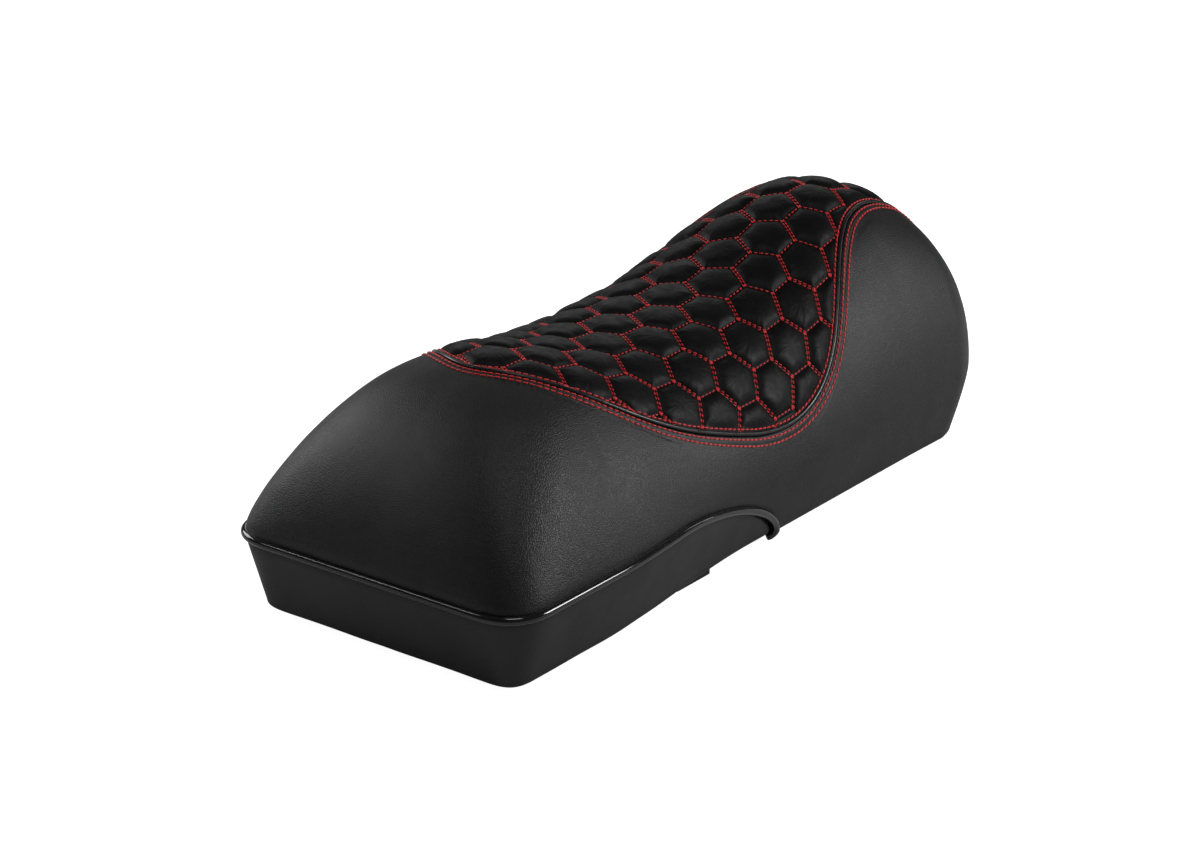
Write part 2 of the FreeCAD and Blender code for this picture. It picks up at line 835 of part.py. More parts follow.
def place_at(feature, x, y, z):
    return bind(feature, {"Placement.Base.x": x, "Placement.Base.y": y, "Placement.Base.z": z})


def block(name, sizes, x, y, z):
    feature = doc.addObject("Part::Box", name)
    bind(feature, {"Length": sizes[0], "Width": sizes[1], "Height": sizes[2]})
    return place_at(feature, x, y, z)


def rod(name, radius, height, x, y, z, turn=None):
    feature = doc.addObject("Part::Cylinder", name)
    if turn:
        feature.Placement = Placement(Vector(0, 0, 0), turn)
    bind(feature, {"Radius": radius, "Height": height})
    return place_at(feature, x, y, z)


def joined(name, pieces):
    feature = doc.addObject("Part::MultiFuse", name)
    feature.Shapes = pieces
    return feature


def less(name, base, tools):
    feature = doc.addObject("Part::Cut", name)
    feature.Base = base
    feature.Tool = tools[0] if len(tools) == 1 else joined(f"{name}_tools", tools)
    return feature


def group(name, pieces):
    feature = doc.addObject("Part::Compound", name)
    feature.Links = pieces
    return feature


def named(node, feature):
    feature.Label = node
    made[node] = feature
    return feature


def plane_of(body, role):
    return next(item for item in body.Origin.OriginFeatures if item.Role == role)


def level_sketch(body, name, level):
    sketch = body.newObject("Sketcher::SketchObject", name)
    sketch.AttachmentSupport = [(plane_of(body, "XY_Plane"), "")]
    sketch.MapMode = "FlatFace"
    sketch.setExpression("AttachmentOffset.Base.z", level)
    return sketch


def measure(sketch, constraint, expression):
    index = sketch.addConstraint(constraint)
    sketch.setExpression(f"Constraints[{index}]", expression)


def rounded_outline(sketch, length, width, corner, guess):
    # four sides and four equal corners about the sketch's origin
    x, y, r = guess[0] / 2, guess[1] / 2, guess[2]
    up = Vector(0, 0, 1)
    corners = ((x - r, r - y, 270), (x - r, y - r, 0), (r - x, y - r, 90), (r - x, r - y, 180))
    for centre_x, centre_y, start in corners:
        circle = Part.Circle(Vector(centre_x, centre_y, 0), up, r)
        sketch.addGeometry(Part.ArcOfCircle(circle, math.radians(start), math.radians(start + 90)), False)
    ends = ((x, r - y, x, y - r), (x - r, y, r - x, y), (-x, y - r, -x, r - y), (r - x, -y, x - r, -y))
    for ax, ay, bx, by in ends:
        sketch.addGeometry(Part.LineSegment(Vector(ax, ay, 0), Vector(bx, by, 0)), False)
    for side in range(4):
        sketch.addConstraint(Sketcher.Constraint("Tangent", side, 2, side + 4, 1))
        sketch.addConstraint(Sketcher.Constraint("Tangent", side + 4, 2, (side + 1) % 4, 1))
    for side, kind in ((4, "Vertical"), (5, "Horizontal"), (6, "Vertical"), (7, "Horizontal")):
        sketch.addConstraint(Sketcher.Constraint(kind, side))
    for side in range(3):
        sketch.addConstraint(Sketcher.Constraint("Equal", side, side + 1))
    sketch.addConstraint(Sketcher.Constraint("Symmetric", 0, 3, 2, 3, -1, 1))
    measure(sketch, Sketcher.Constraint("Radius", 0, r), corner)
    measure(sketch, Sketcher.Constraint("DistanceX", 6, 1, 4, 1, 2 * x), length)
    measure(sketch, Sketcher.Constraint("DistanceY", 7, 1, 5, 1, 2 * y), width)


def circles(sketch, places, radius):
    # equal circles, each centre measured from the sketch's origin
    up = Vector(0, 0, 1)
    for index, (x, y, guess) in enumerate(places):
        sketch.addGeometry(Part.Circle(Vector(guess[0], guess[1], 0), up, 2), False)
        measure(sketch, Sketcher.Constraint("Radius", index, 2), radius)
        measure(sketch, Sketcher.Constraint("DistanceX", -1, 1, index, 3, guess[0]), x)
        measure(sketch, Sketcher.Constraint("DistanceY", -1, 1, index, 3, guess[1]), y)


def add_pad(body, name, sketch, length, down=False):
    pad = body.newObject("PartDesign::Pad", name)
    pad.Profile = sketch
    pad.Reversed = down
    pad.setExpression("Length", length)
    body.Tip = pad
    return pad


def add_pocket(body, name, sketch, length):
    # cuts downwards from the sketch
    pocket = body.newObject("PartDesign::Pocket", name)
    pocket.Profile = sketch
    pocket.setExpression("Length", length)
    body.Tip = pocket
    return pocket


def rounded_plate(name, length, width, corner, level, height, guess):
    body = doc.addObject("PartDesign::Body", name)
    sketch = level_sketch(body, f"{name}_outline", level)
    rounded_outline(sketch, length, width, corner, guess)
    add_pad(body, f"{name}_pad", sketch, height)
    return body


def bolt_places(prefix, middle):
    # four places about a middle, as expressions with a first guess
    along_half = f"Sizes.{prefix}_bolts_along / 2"
    across_half = f"Sizes.{prefix}_bolts_across / 2"
    places = []
    for way_x in (1, -1):
        for way_y in (1, -1):
            guess = (way_x * size(f"{prefix}_bolts_along") / 2, way_y * size(f"{prefix}_bolts_across") / 2)
            places.append((f"{middle} + ({way_x} * {along_half})", f"{way_y} * {across_half}", guess))
    return places


# Moulded pan: tray with a rim, cross ribs, long ribs and holes
base_pan = rounded_plate("base_pan", pan_run, pan_span, "Sizes.pan_corner",
                         "Sizes.foot_height + Sizes.lip_thickness", "Sizes.pan_depth",
                         (pan_length, pan_width, size("pan_corner")))
tray = level_sketch(base_pan, "tray_outline", pan_under_level)
walls = 2 * size("pan_wall")
rounded_outline(tray, f"{pan_run} - 2 * Sizes.pan_wall", f"{pan_span} - 2 * Sizes.pan_wall",
                "Sizes.pan_corner - Sizes.pan_wall",
                (pan_length - walls, pan_width - walls, size("pan_corner") - size("pan_wall")))
add_pocket(base_pan, "tray_hollow", tray, "Sizes.pan_depth - Sizes.pan_wall")


def rib_sketch(name, x, y, length, width):
    sketch = level_sketch(base_pan, name, pan_under_level)
    corners = [Vector(5, 5, 0), Vector(20, 5, 0), Vector(20, 20, 0), Vector(5, 20, 0)]
    for a, b in zip(corners, corners[1:] + corners[:1]):
        sketch.addGeometry(Part.LineSegment(a, b), False)
    for side in range(4):
        sketch.addConstraint(Sketcher.Constraint("Coincident", side, 2, (side + 1) % 4, 1))
    for side, kind in enumerate(("Horizontal", "Vertical", "Horizontal", "Vertical")):
        sketch.addConstraint(Sketcher.Constraint(kind, side))
    measure(sketch, Sketcher.Constraint("DistanceX", 0, 1, 0, 2, 15), length)
    measure(sketch, Sketcher.Constraint("DistanceY", 1, 1, 1, 2, 15), width)
    measure(sketch, Sketcher.Constraint("DistanceX", -1, 1, 0, 1, 5), x)
    measure(sketch, Sketcher.Constraint("DistanceY", -1, 1, 0, 1, 5), y)
    return sketch


cross = rib_sketch("cross_rib_outline", f"-{rib_run} / 2 - Sizes.rib_wall / 2",
                   f"Sizes.pan_wall / 2 - {pan_span} / 2", "Sizes.rib_wall", f"{pan_span} - Sizes.pan_wall")
cross_rib = add_pad(base_pan, "cross_rib", cross, "Sizes.rib_depth", True)
doc.recompute()
cross_ribs = base_pan.newObject("PartDesign::LinearPattern", "cross_ribs")
cross_ribs.Originals = [cross_rib]
cross_ribs.Direction = (plane_of(base_pan, "X_Axis"), [""])
bind(cross_ribs, {"Length": rib_run, "Occurrences": "Sizes.rib_count"})
base_pan.Tip = cross_ribs
middle_rail = rib_sketch("middle_rail_outline", f"-{rib_run} / 2", "-Sizes.rib_wall / 2",
                         rib_run, "Sizes.rib_wall")
add_pad(base_pan, "middle_rail_rib", middle_rail, "Sizes.rib_depth", True)
rail = rib_sketch("rail_outline", f"-{rib_run} / 2", "Sizes.rail_place - Sizes.rib_wall / 2",
                  rib_run, "Sizes.rib_wall")
rail_rib = add_pad(base_pan, "rail_rib", rail, "Sizes.rib_depth", True)
doc.recompute()
rails = base_pan.newObject("PartDesign::Mirrored", "rails")
rails.Originals = [rail_rib]
rails.MirrorPlane = (plane_of(base_pan, "XZ_Plane"), [""])
base_pan.Tip = rails
bolt_holes = level_sketch(base_pan, "bolt_holes", pan_top_level)
hinge_from_pan = f"({hinge_middle_place} - {pan_middle})"
loop_from_pan = f"({loop_middle} - {pan_middle})"
pan_bolts = []
for prefix, middle, start in (("hinge", hinge_from_pan, hinge_middle), ("loop", loop_from_pan, loop_place)):
    for x, y, guess in bolt_places(prefix, middle):
        pan_bolts.append((x, y, (guess[0] + start - pan_place, guess[1])))
circles(bolt_holes, pan_bolts, "Sizes.screw_radius + Sizes.screw_play")
add_pocket(base_pan, "bolt_clearance", bolt_holes, "Sizes.pan_wall")
stem_holes = level_sketch(base_pan, "stem_holes", pan_top_level)
stems = []
buffer_half = pan_width / 2 - size("buffer_inset")
for node, place in (("front_buffers", half_length - size("front_buffer_setback")),
                    ("rear_buffers", size("rear_buffer_setback") - half_length)):
    for way in (1, -1):
        guess = (place - pan_place, way * buffer_half)
        stems.append((f"{buffer_lines[node]} - {pan_middle}", f"{way} * {buffer_side}", guess))
circles(stem_holes, stems, "Sizes.stem_radius + Sizes.stem_play")
add_pocket(base_pan, "stem_clearance", stem_holes, "Sizes.pan_wall")
base_pan.setExpression("Placement.Base.x", pan_middle)
named("base_pan", base_pan)

# Hinge leaves: a plate, tongues and knuckles about the pin
along_y = Rotation(Vector(1, 0, 0), -90)
knuckle = "(Sizes.leaf_width / 5)"
leaf_start = f"({hinge_axis} - Sizes.leaf_reach)"
leaf_end = f"({hinge_axis} - Sizes.knuckle_radius - Sizes.knuckle_gap)"


def hinge_leaf(name, level, bands, spare, holes):
    plate_size = (f"{leaf_end} - {leaf_start}", "Sizes.leaf_width", "Sizes.leaf_thickness")
    pieces = [block(f"{name}_plate", plate_size, leaf_start, "-Sizes.leaf_width / 2", level)]
    for index, start in enumerate(bands):
        low = f"({start} * {knuckle} - Sizes.leaf_width / 2 + {spare})"
        span = f"({knuckle} - 2 * {spare})"
        tongue_size = ("Sizes.knuckle_radius + 2 * Sizes.knuckle_gap", span, "Sizes.leaf_thickness")
        pieces.append(block(f"{name}_tongue_{index}", tongue_size,
                            f"{leaf_end} - Sizes.knuckle_gap", low, level))
        pieces.append(rod(f"{name}_knuckle_{index}", "Sizes.knuckle_radius", span,
                          hinge_axis, low, axis_level, along_y))
    bore = rod(f"{name}_bore", "Sizes.pin_radius + Sizes.pin_play", "Sizes.leaf_width + 2",
               hinge_axis, "-Sizes.leaf_width / 2 - 1", axis_level, along_y)
    return less(name, joined(f"{name}_blank", pieces), [bore] + holes)


seat_holes = []
for index, (x, y, guess) in enumerate(bolt_places("hinge", hinge_middle_place)):
    seat_holes.append(rod(f"seat_leaf_hole_{index}", "Sizes.screw_radius + Sizes.screw_play",
                          "Sizes.leaf_thickness + 2", x, y, f"{plate_level} - 1"))
named("seat_hinge_leaf", hinge_leaf("seat_hinge_leaf", plate_level, (0, 2, 4), "0", seat_holes))
frame_level = f"({axis_level} - Sizes.knuckle_radius)"
frame_holes = []
for way in (1, -1):
    frame_holes.append(rod(f"frame_leaf_hole_{way + 1}", "Sizes.frame_hole", "Sizes.leaf_thickness + 2",
                           hinge_middle_place, f"{way} * Sizes.frame_spacing / 2", f"{frame_level} - 1"))
named("frame_hinge_leaf",
      hinge_leaf("frame_hinge_leaf", frame_level, (1, 3), "Sizes.knuckle_gap", frame_holes))

# Hinge pin with its head at one end and a clip in a groove at the other
pin_foot = "(-Sizes.leaf_width / 2 - 3 * Sizes.clip_thickness)"
groove_foot = "(-Sizes.leaf_width / 2 - Sizes.clip_thickness)"
groove_radius = "(Sizes.pin_radius - Sizes.pin_groove)"
shank = rod("pin_shank", "Sizes.pin_radius", f"Sizes.leaf_width / 2 - {pin_foot}",
            hinge_axis, pin_foot, axis_level, along_y)
head = rod("pin_cap", "Sizes.pin_head", "Sizes.pin_head_height",
           hinge_axis, "Sizes.leaf_width / 2", axis_level, along_y)
ring_outside = rod("pin_groove_outside", "Sizes.pin_radius + 1", "Sizes.clip_thickness",
                   hinge_axis, groove_foot, axis_level, along_y)
ring_inside = rod("pin_groove_inside", groove_radius, "Sizes.clip_thickness",
                  hinge_axis, groove_foot, axis_level, along_y)
pin_groove = less("pin_groove", ring_outside, [ring_inside])
named("hinge_pin", less("hinge_pin", joined("pin_blank", [shank, head]), [pin_groove]))
clip_disc = rod("clip_disc", "Sizes.clip_radius", "Sizes.clip_thickness",
                hinge_axis, groove_foot, axis_level, along_y)
clip_bore = rod("clip_bore", f"{groove_radius} + Sizes.nut_play", "Sizes.clip_thickness",
                hinge_axis, groove_foot, axis_level, along_y)
clip_mouth = block("clip_mouth", ("Sizes.clip_radius + 1", "Sizes.clip_thickness", f"2 * {groove_radius}"),
                   f"{hinge_axis} - Sizes.clip_radius - 1", groove_foot, f"{axis_level} - {groove_radius}")
named("hinge_clip", less("hinge_clip", clip_disc, [clip_bore, clip_mouth]))

# Backing plates above the pan, bolts through the stack and their nuts


def backing_plate(name, prefix, middle):
    length = f"Sizes.{prefix}_bolts_along + 2 * Sizes.plate_margin"
    width = f"Sizes.{prefix}_bolts_across + 2 * Sizes.plate_margin"
    margins = 2 * size("plate_margin")
    guess = (size(f"{prefix}_bolts_along") + margins, size(f"{prefix}_bolts_across") + margins,
             size("plate_corner"))
    plate = rounded_plate(name, length, width, "Sizes.plate_corner",
                          pan_top_level, "Sizes.backing_thickness", guess)
    holes = level_sketch(plate, f"{name}_holes", f"{pan_top_level} + Sizes.backing_thickness")
    circles(holes, bolt_places(prefix, "0"), "Sizes.screw_radius + Sizes.screw_play")
    add_pocket(plate, f"{name}_clearance", holes, "Sizes.backing_thickness")
    plate.setExpression("Placement.Base.x", middle)
    return named(name, plate)


def bolt_set(prefix, middle):
    bolts = []
    nuts = []
    nut_level = f"({pan_top_level} + Sizes.backing_thickness)"
    shank_length = "Sizes.leaf_thickness + Sizes.pan_wall + Sizes.backing_thickness + Sizes.nut_height + 1"
    for index, (x, y, guess) in enumerate(bolt_places(prefix, middle)):
        name = f"{prefix}_bolt_{index}"
        bolt_shank = rod(f"{name}_shank", "Sizes.screw_radius", shank_length, x, y, plate_level)
        bolt_head = rod(f"{name}_head", "Sizes.screw_head", "Sizes.screw_head_height",
                        x, y, f"{plate_level} - Sizes.screw_head_height")
        bolts.append(joined(name, [bolt_shank, bolt_head]))
        hexagon = doc.addObject("Part::Prism", f"{prefix}_nut_{index}_hexagon")
        hexagon.Polygon = 6
        bind(hexagon, {"Circumradius": "Sizes.nut_radius", "Height": "Sizes.nut_height"})
        place_at(hexagon, x, y, nut_level)
        nut_bore = rod(f"{prefix}_nut_{index}_bore", "Sizes.screw_radius + Sizes.nut_play",
                       "Sizes.nut_height", x, y, nut_level)
        nuts.append(less(f"{prefix}_nut_{index}", hexagon, [nut_bore]))
    return bolts, nuts


backing_plate("hinge_backing_plate", "hinge", hinge_middle_place)
hinge_bolts, hinge_nuts = bolt_set("hinge", hinge_middle_place)
named("hinge_bolts", group("hinge_bolts", hinge_bolts))
named("hinge_nuts", group("hinge_nuts", hinge_nuts))
backing_plate("loop_backing_plate", "loop", loop_middle)
loop_bolts, loop_nuts = bolt_set("loop", loop_middle)
named("loop_bolts", group("loop_bolts", loop_bolts))
named("loop_nuts", group("loop_nuts", loop_nuts))

# Latch loop: a bent rod welded under a bolted plate
doc.recompute()
plate_bottom = pan_top - size("pan_wall") - size("leaf_thickness")
bar_level = plate_bottom - size("loop_drop")
loop_half = size("loop_width") / 2
bend = size("loop_bend")


def loop_rod():
    thick = size("loop_radius")
    leg = plate_bottom + size("leaf_thickness") / 2 - bar_level - bend
    span = 2 * (loop_half - bend)
    bar_start = Vector(loop_place, bend - loop_half, bar_level)
    pieces = [Part.makeCylinder(thick, span, bar_start, Vector(0, 1, 0))]
    for way in (1, -1):
        pieces.append(Part.makeCylinder(thick, leg, Vector(loop_place, way * loop_half, bar_level + bend)))
        turn = Part.makeTorus(bend, thick, Vector(0, 0, 0), Vector(0, 0, 1), -180, 180, 90)
        stand = Rotation(Vector(0, way, 0), Vector(0, 0, -1), Vector(-way, 0, 0), "XYZ")
        turn.Placement = Placement(Vector(loop_place, way * (loop_half - bend), bar_level + bend), stand)
        pieces.append(turn)
    return pieces[0].multiFuse(pieces[1:])


plate_length = size("loop_plate_length")
plate_width = size("loop_plate_width")
loop_plate = Part.makeBox(plate_length, plate_width, size("leaf_thickness"),
                          Vector(loop_place - plate_length / 2, -plate_width / 2, plate_bottom))
for way_x in (1, -1):
    for way_y in (1, -1):
        place = Vector(loop_place + way_x * size("loop_bolts_along") / 2,
                       way_y * size("loop_bolts_across") / 2, plate_bottom - 1)
        loop_plate = loop_plate.cut(Part.makeCylinder(size("screw_radius") + size("screw_play"), 10, place))
keep("latch_loop", loop_plate.fuse(loop_rod()).removeSplitter())

# Rubber buffers with stems pressed into the pan, and side pads under the hem


def buffer(name, x, way):
    y = f"{way} * {buffer_side}"
    cone = doc.addObject("Part::Cone", f"{name}_foot")
    bind(cone, {"Radius1": "Sizes.buffer_radius - Sizes.buffer_taper", "Radius2": "Sizes.buffer_radius",
                "Height": pan_under_level})
    place_at(cone, x, y, "0")
    stem = rod(f"{name}_stem", "Sizes.stem_radius", "Sizes.pan_wall - 0.5", x, y, pan_under_level)
    return joined(name, [cone, stem])


for node, place in buffer_lines.items():
    pair = [buffer(f"{node}_{side}", place, way) for side, way in (("left", 1), ("right", -1))]
    named(node, group(f"{node}_pair", pair))
pads = []
for side, way in (("left", 1), ("right", -1)):
    guess = (size("pad_length"), size("pad_width"), size("plate_corner"))
    pad = rounded_plate(f"side_pad_{side}", "Sizes.pad_length", "Sizes.pad_width", "Sizes.plate_corner",
                        "0", "Sizes.foot_height", guess)
    bind(pad, {"Placement.Base.x": f"{front_end} - Sizes.pad_setback",
               "Placement.Base.y": f"{way} * (Sizes.waist_width / 2 - Sizes.pad_inset)"})
    pads.append(pad)
named("side_pads", group("side_pads", pads))
doc.recompute()

# Every object is sound before anything is written
for item in doc.Objects:
    if "Invalid" in item.State or "Error" in item.State:
        raise RuntimeError(f"{item.Label} failed: {item.State}")
for node, feature in made.items():
    if feature.Shape.isNull() or not feature.Shape.isValid():
        raise RuntimeError(f"{node} has no sound shape")
for node, feature in made.items():
    feature.Shape.exportStep(f"parts/{node}.step")
    print(node, len(feature.Shape.Solids), feature.Shape.BoundBox)
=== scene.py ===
import json
import math

import bmesh
import bpy
import numpy as np
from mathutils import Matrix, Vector, noise


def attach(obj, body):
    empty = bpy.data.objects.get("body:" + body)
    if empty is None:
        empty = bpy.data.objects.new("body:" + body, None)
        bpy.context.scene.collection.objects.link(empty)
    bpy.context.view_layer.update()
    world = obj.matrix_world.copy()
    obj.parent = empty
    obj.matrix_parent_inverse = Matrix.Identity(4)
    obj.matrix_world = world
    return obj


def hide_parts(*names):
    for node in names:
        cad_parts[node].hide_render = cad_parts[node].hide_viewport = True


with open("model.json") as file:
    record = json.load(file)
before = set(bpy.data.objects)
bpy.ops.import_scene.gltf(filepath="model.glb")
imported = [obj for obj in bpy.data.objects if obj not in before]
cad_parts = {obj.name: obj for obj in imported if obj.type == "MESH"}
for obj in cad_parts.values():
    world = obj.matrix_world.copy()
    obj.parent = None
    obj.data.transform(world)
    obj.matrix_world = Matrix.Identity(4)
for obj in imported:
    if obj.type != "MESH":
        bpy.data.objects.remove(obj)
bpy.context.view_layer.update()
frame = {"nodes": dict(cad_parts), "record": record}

scene = bpy.context.scene
print("frame loaded:", len(frame["nodes"]), "nodes")

# Form of the upholstery, in metres: the same rules as the solids
form = {
    "halfLength": 0.378,
    "frontHalf": 0.1525,
    "waistHalf": 0.136,
    "waistX": 0.020,
    "widening": 0.230,       # length over which the waist grows to the front width
    "frontCorner": 0.046,
    "tailCorner": 0.092,
    "frontPower": 2.5,       # roundness of the plan corners
    "tailPower": 1.6,
    "hem": 0.007,
    "girth": 0.071,
    "noseHeight": 0.216,
    "dipHeight": 0.1965,
    "humpHeight": 0.246,
    "noseX": 0.220,
    "dipX": 0.067,
    "humpX": -0.220,
    "saddleBack": 0.030,     # the middle section lies this far behind the dip
    "noseFall": (2.18, 1.58),    # powers of the crown line: its ends, and its rises from the dip
    "tailFall": (1.9, 2.16),
    "rises": (1.34, 1.56),
    "acrossPowers": (2.12, 1.89, 2.63, 2.29, 3.02),      # sections from tail to nose
    "upPowers": (2.31, 2.0, 1.77, 1.5, 1.58),
    "draft": 0.017,
    "draftPower": 1.3,
    "endRound": 0.0015,
    "endGap": 0.0007,        # top surface stops this far before the back's plane
}
seam = {
    "half": 0.1295,          # widest half width of the quilted panel
    "tailHalf": 0.04775,
    "front": 0.247,
    "wide": ((0, 0), (0.042, 0.44), (0.141, 0.779), (0.301, 0.958),      # shares of length and half width
             (0.445, 1.0), (0.557, 0.909), (0.637, 0.691)),
    "narrow": ((0.733, 1.207), (0.844, 1.0), (0.92, 1.0)),
    "overrun": 0.020,        # past the back, for a smooth end
    "normalGap": 0.001,
    "groove": 0.0018,        # from the seam's middle to each cover's edge
    "foot": 0.0096,          # lower end of the panel at the back
    "backStep": 0.002,
    "backRows": 60,
    "samples": 1600,
}
skirtEdge = {"top": 0.073, "end": -0.018, "fall": 0.168, "powers": (1.7, 0.62)}
core = np.array([0.0, 0.0, 0.08])        # a point inside, from which faces point away
mirror = np.array([1, -1, 1])


def ease(value):
    part = np.clip(value, 0.0, 1.0)
    return part * part * (3.0 - 2.0 * part)


def unit(vectors):
    return vectors / np.linalg.norm(vectors, axis=-1, keepdims=True)


def mirrored(rows):
    # the far side's rows in reverse, then the near side's
    return np.concatenate([rows[:0:-1] * mirror, rows])


def runLength(points):
    return np.concatenate([[0], np.cumsum(np.linalg.norm(np.diff(points, axis=0), axis=1))])


def resample(points, places, run):
    return np.stack([np.interp(places, run, points[:, k]) for k in range(points.shape[1])], -1)


def evenly(points, count):
    run = runLength(points)
    return resample(points, np.linspace(0, run[-1], count), run)


def sideHalf(x):
    share = ease((x - form["waistX"]) / form["widening"])
    return form["waistHalf"] + (form["frontHalf"] - form["waistHalf"]) * share


def planHalf(x):
    corner = np.where(x > 0, form["frontCorner"], form["tailCorner"])
    power = np.where(x > 0, form["frontPower"], form["tailPower"])
    beyond = np.clip((np.abs(x) - (form["halfLength"] - corner)) / corner, 0.0, 1.0)
    return sideHalf(x) - corner + corner * (1 - beyond ** power) ** (1 / power)


def endCurve(share, height, powers):
    return form["girth"] + (height - form["girth"]) * (1 - share ** powers[0]) ** (1 / powers[1])


def crownHeight(x):
    x = np.asarray(x, float)
    dipX, dipHeight = form["dipX"], form["dipHeight"]
    end = form["halfLength"] + form["endRound"]
    nose = np.clip((x - form["noseX"]) / (end - form["noseX"]), 0, 1)
    tail = np.clip((form["humpX"] - x) / (end + form["humpX"]), 0, 1)
    riseFront = np.clip((x - dipX) / (form["noseX"] - dipX), 0, 1) ** form["rises"][0]
    riseRear = np.clip((dipX - x) / (dipX - form["humpX"]), 0, 1) ** form["rises"][1]
    frontZ = dipHeight + (form["noseHeight"] - dipHeight) * ease(riseFront)
    rearZ = dipHeight + (form["humpHeight"] - dipHeight) * ease(riseRear)
    middle = np.where(x >= dipX, frontZ, rearZ)
    ahead = np.where(x >= form["noseX"], endCurve(nose, form["noseHeight"], form["noseFall"]), middle)
    return np.where(x <= form["humpX"], endCurve(tail, form["humpHeight"], form["tailFall"]), ahead)


def coverHeight(x, y):
    places = [-form["halfLength"], form["humpX"], form["dipX"] - form["saddleBack"],
              form["noseX"], form["halfLength"]]
    across = np.interp(x, places, form["acrossPowers"])
    up = np.interp(x, places, form["upPowers"])
    share = np.clip(np.abs(y) / planHalf(x), 0.0, 1.0)
    return form["girth"] + (crownHeight(x) - form["girth"]) * (1 - share ** across) ** (1 / up)


def coverNormal(x, y, step=0.0004):
    limit = form["halfLength"] - 1.5 * step
    xa = np.clip(x - step, -limit, limit)
    xb = np.clip(x + step, -limit, limit)
    runX = (coverHeight(xb, y) - coverHeight(xa, y)) / (xb - xa)
    runY = (coverHeight(x, y + step) - coverHeight(x, y - step)) / (2 * step)
    return unit(np.stack([-runX, -runY, np.ones_like(runX)], -1))


def wallDrop(z):
    return np.clip((form["girth"] - z) / (form["girth"] - form["hem"]), 0, 1)


def wallTuck(z):
    return form["draft"] * wallDrop(z) ** form["draftPower"]


def skirtLine(x, lift, reach):
    # height of the skirt's upper edge at a station, raised by lift and moved back by reach
    along, down = skirtEdge["powers"]
    share = np.clip((skirtEdge["end"] - reach + skirtEdge["fall"] - x) / skirtEdge["fall"], 0, 1)
    return form["hem"] + (skirtEdge["top"] + lift - form["hem"]) * (1 - share ** along) ** down


def naturalSpline(points, count):
    # smooth curve through a few points, by chord length
    points = np.asarray(points, float)
    knots = runLength(points)
    gaps = np.diff(knots)
    size = len(knots)
    matrix = np.eye(size)
    right = np.zeros((size, points.shape[1]))
    for k in range(1, size - 1):
        matrix[k, k - 1:k + 2] = [gaps[k - 1], 2 * (gaps[k - 1] + gaps[k]), gaps[k]]
        right[k] = 6 * ((points[k + 1] - points[k]) / gaps[k] - (points[k] - points[k - 1]) / gaps[k - 1])
    bends = np.linalg.solve(matrix, right)
    places = np.linspace(knots[0], knots[-1], count)
    spans = np.clip(np.searchsorted(knots, places, side="right") - 1, 0, size - 2)
    gap = gaps[spans][:, None]
    a = (knots[spans + 1] - places)[:, None] / gap
    b = 1 - a
    curve = (a ** 3 - a) * bends[spans] + (b ** 3 - b) * bends[spans + 1]
    return a * points[spans] + b * points[spans + 1] + curve * gap ** 2 / 6


def seamPlan(offset):
    # half of the seam in plan, from the front tip to the back, moved sideways over the surface
    back = -form["halfLength"]
    reach = seam["front"] - back
    half = [(seam["front"] - reach * away, seam["half"] * share) for away, share in seam["wide"]]
    half += [(seam["front"] - reach * away, seam["tailHalf"] * share) for away, share in seam["narrow"]]
    half.append((back - seam["overrun"], seam["tailHalf"]))
    farSide = [(x, -y) for x, y in reversed(half[1:])]
    line = naturalSpline(farSide + half, 2 * seam["samples"] + 1)[seam["samples"]:]
    way = unit(np.gradient(line, axis=0))
    out = np.stack([-way[:, 1], way[:, 0]], -1)
    out[out[:, 1] < 0] *= -1
    out[0] = (1, 0)
    normal = coverNormal(np.clip(line[:, 0], back + seam["normalGap"], -back), line[:, 1])
    steep = -np.sum(normal[:, :2] * out, axis=1) / normal[:, 2]
    climb = -np.sum(normal[:, :2] * way, axis=1) / normal[:, 2]
    stretch = np.sqrt(1 + steep ** 2 - (steep * climb) ** 2 / (1 + climb ** 2))
    moved = line + out * (offset / stretch)[:, None]
    moved[0, 1] = 0
    moved[:, 1] = np.maximum(moved[:, 1], 0)
    return moved[moved[:, 0] > back + form["endGap"]]


def seamLine(offset, sunk):
    # the same half seam on the surface, carried on down the back
    plan = seamPlan(offset)
    x, y = plan[:, 0], plan[:, 1]
    count = seam["backRows"]
    points = np.stack([x, y, coverHeight(x, y)], -1)
    drop = np.linspace(points[-1, 2] - seam["backStep"], seam["foot"], count)
    rear = np.stack([np.full(count, -form["halfLength"]), np.full(count, y[-1]), drop], -1)
    normals = np.concatenate([coverNormal(x, y), np.tile([-1.0, 0.0, 0.0], (count, 1))])
    return np.concatenate([points, rear]) - normals * sunk, normals


# Meshes


def placed(name, data):
    holder = bpy.data.objects.new(name, data)
    scene.collection.objects.link(holder)
    return holder


def pieceFrom(name, vertices, faces):
    mesh = bpy.data.meshes.new(name)
    mesh.from_pydata([tuple(v) for v in vertices], [], faces)
    mesh.validate()
    mesh.polygons.foreach_set("use_smooth", [True] * len(mesh.polygons))
    mesh.update()
    return placed(name, mesh)


def gridFaces(rows, columns, closed=False):
    faces = []
    for r in range(rows - 1):
        for c in range(columns if closed else columns - 1):
            n = (c + 1) % columns
            a, b = r * columns, (r + 1) * columns
            faces.append((a + c, a + n, b + n, b + c))
    return faces


def outward(grid):
    normals = np.cross(np.gradient(grid, axis=0), np.gradient(grid, axis=1))
    normals = normals / np.maximum(np.linalg.norm(normals, axis=-1, keepdims=True), 1e-9)
    return -normals if np.sum(normals * (grid - core)) < 0 else normals


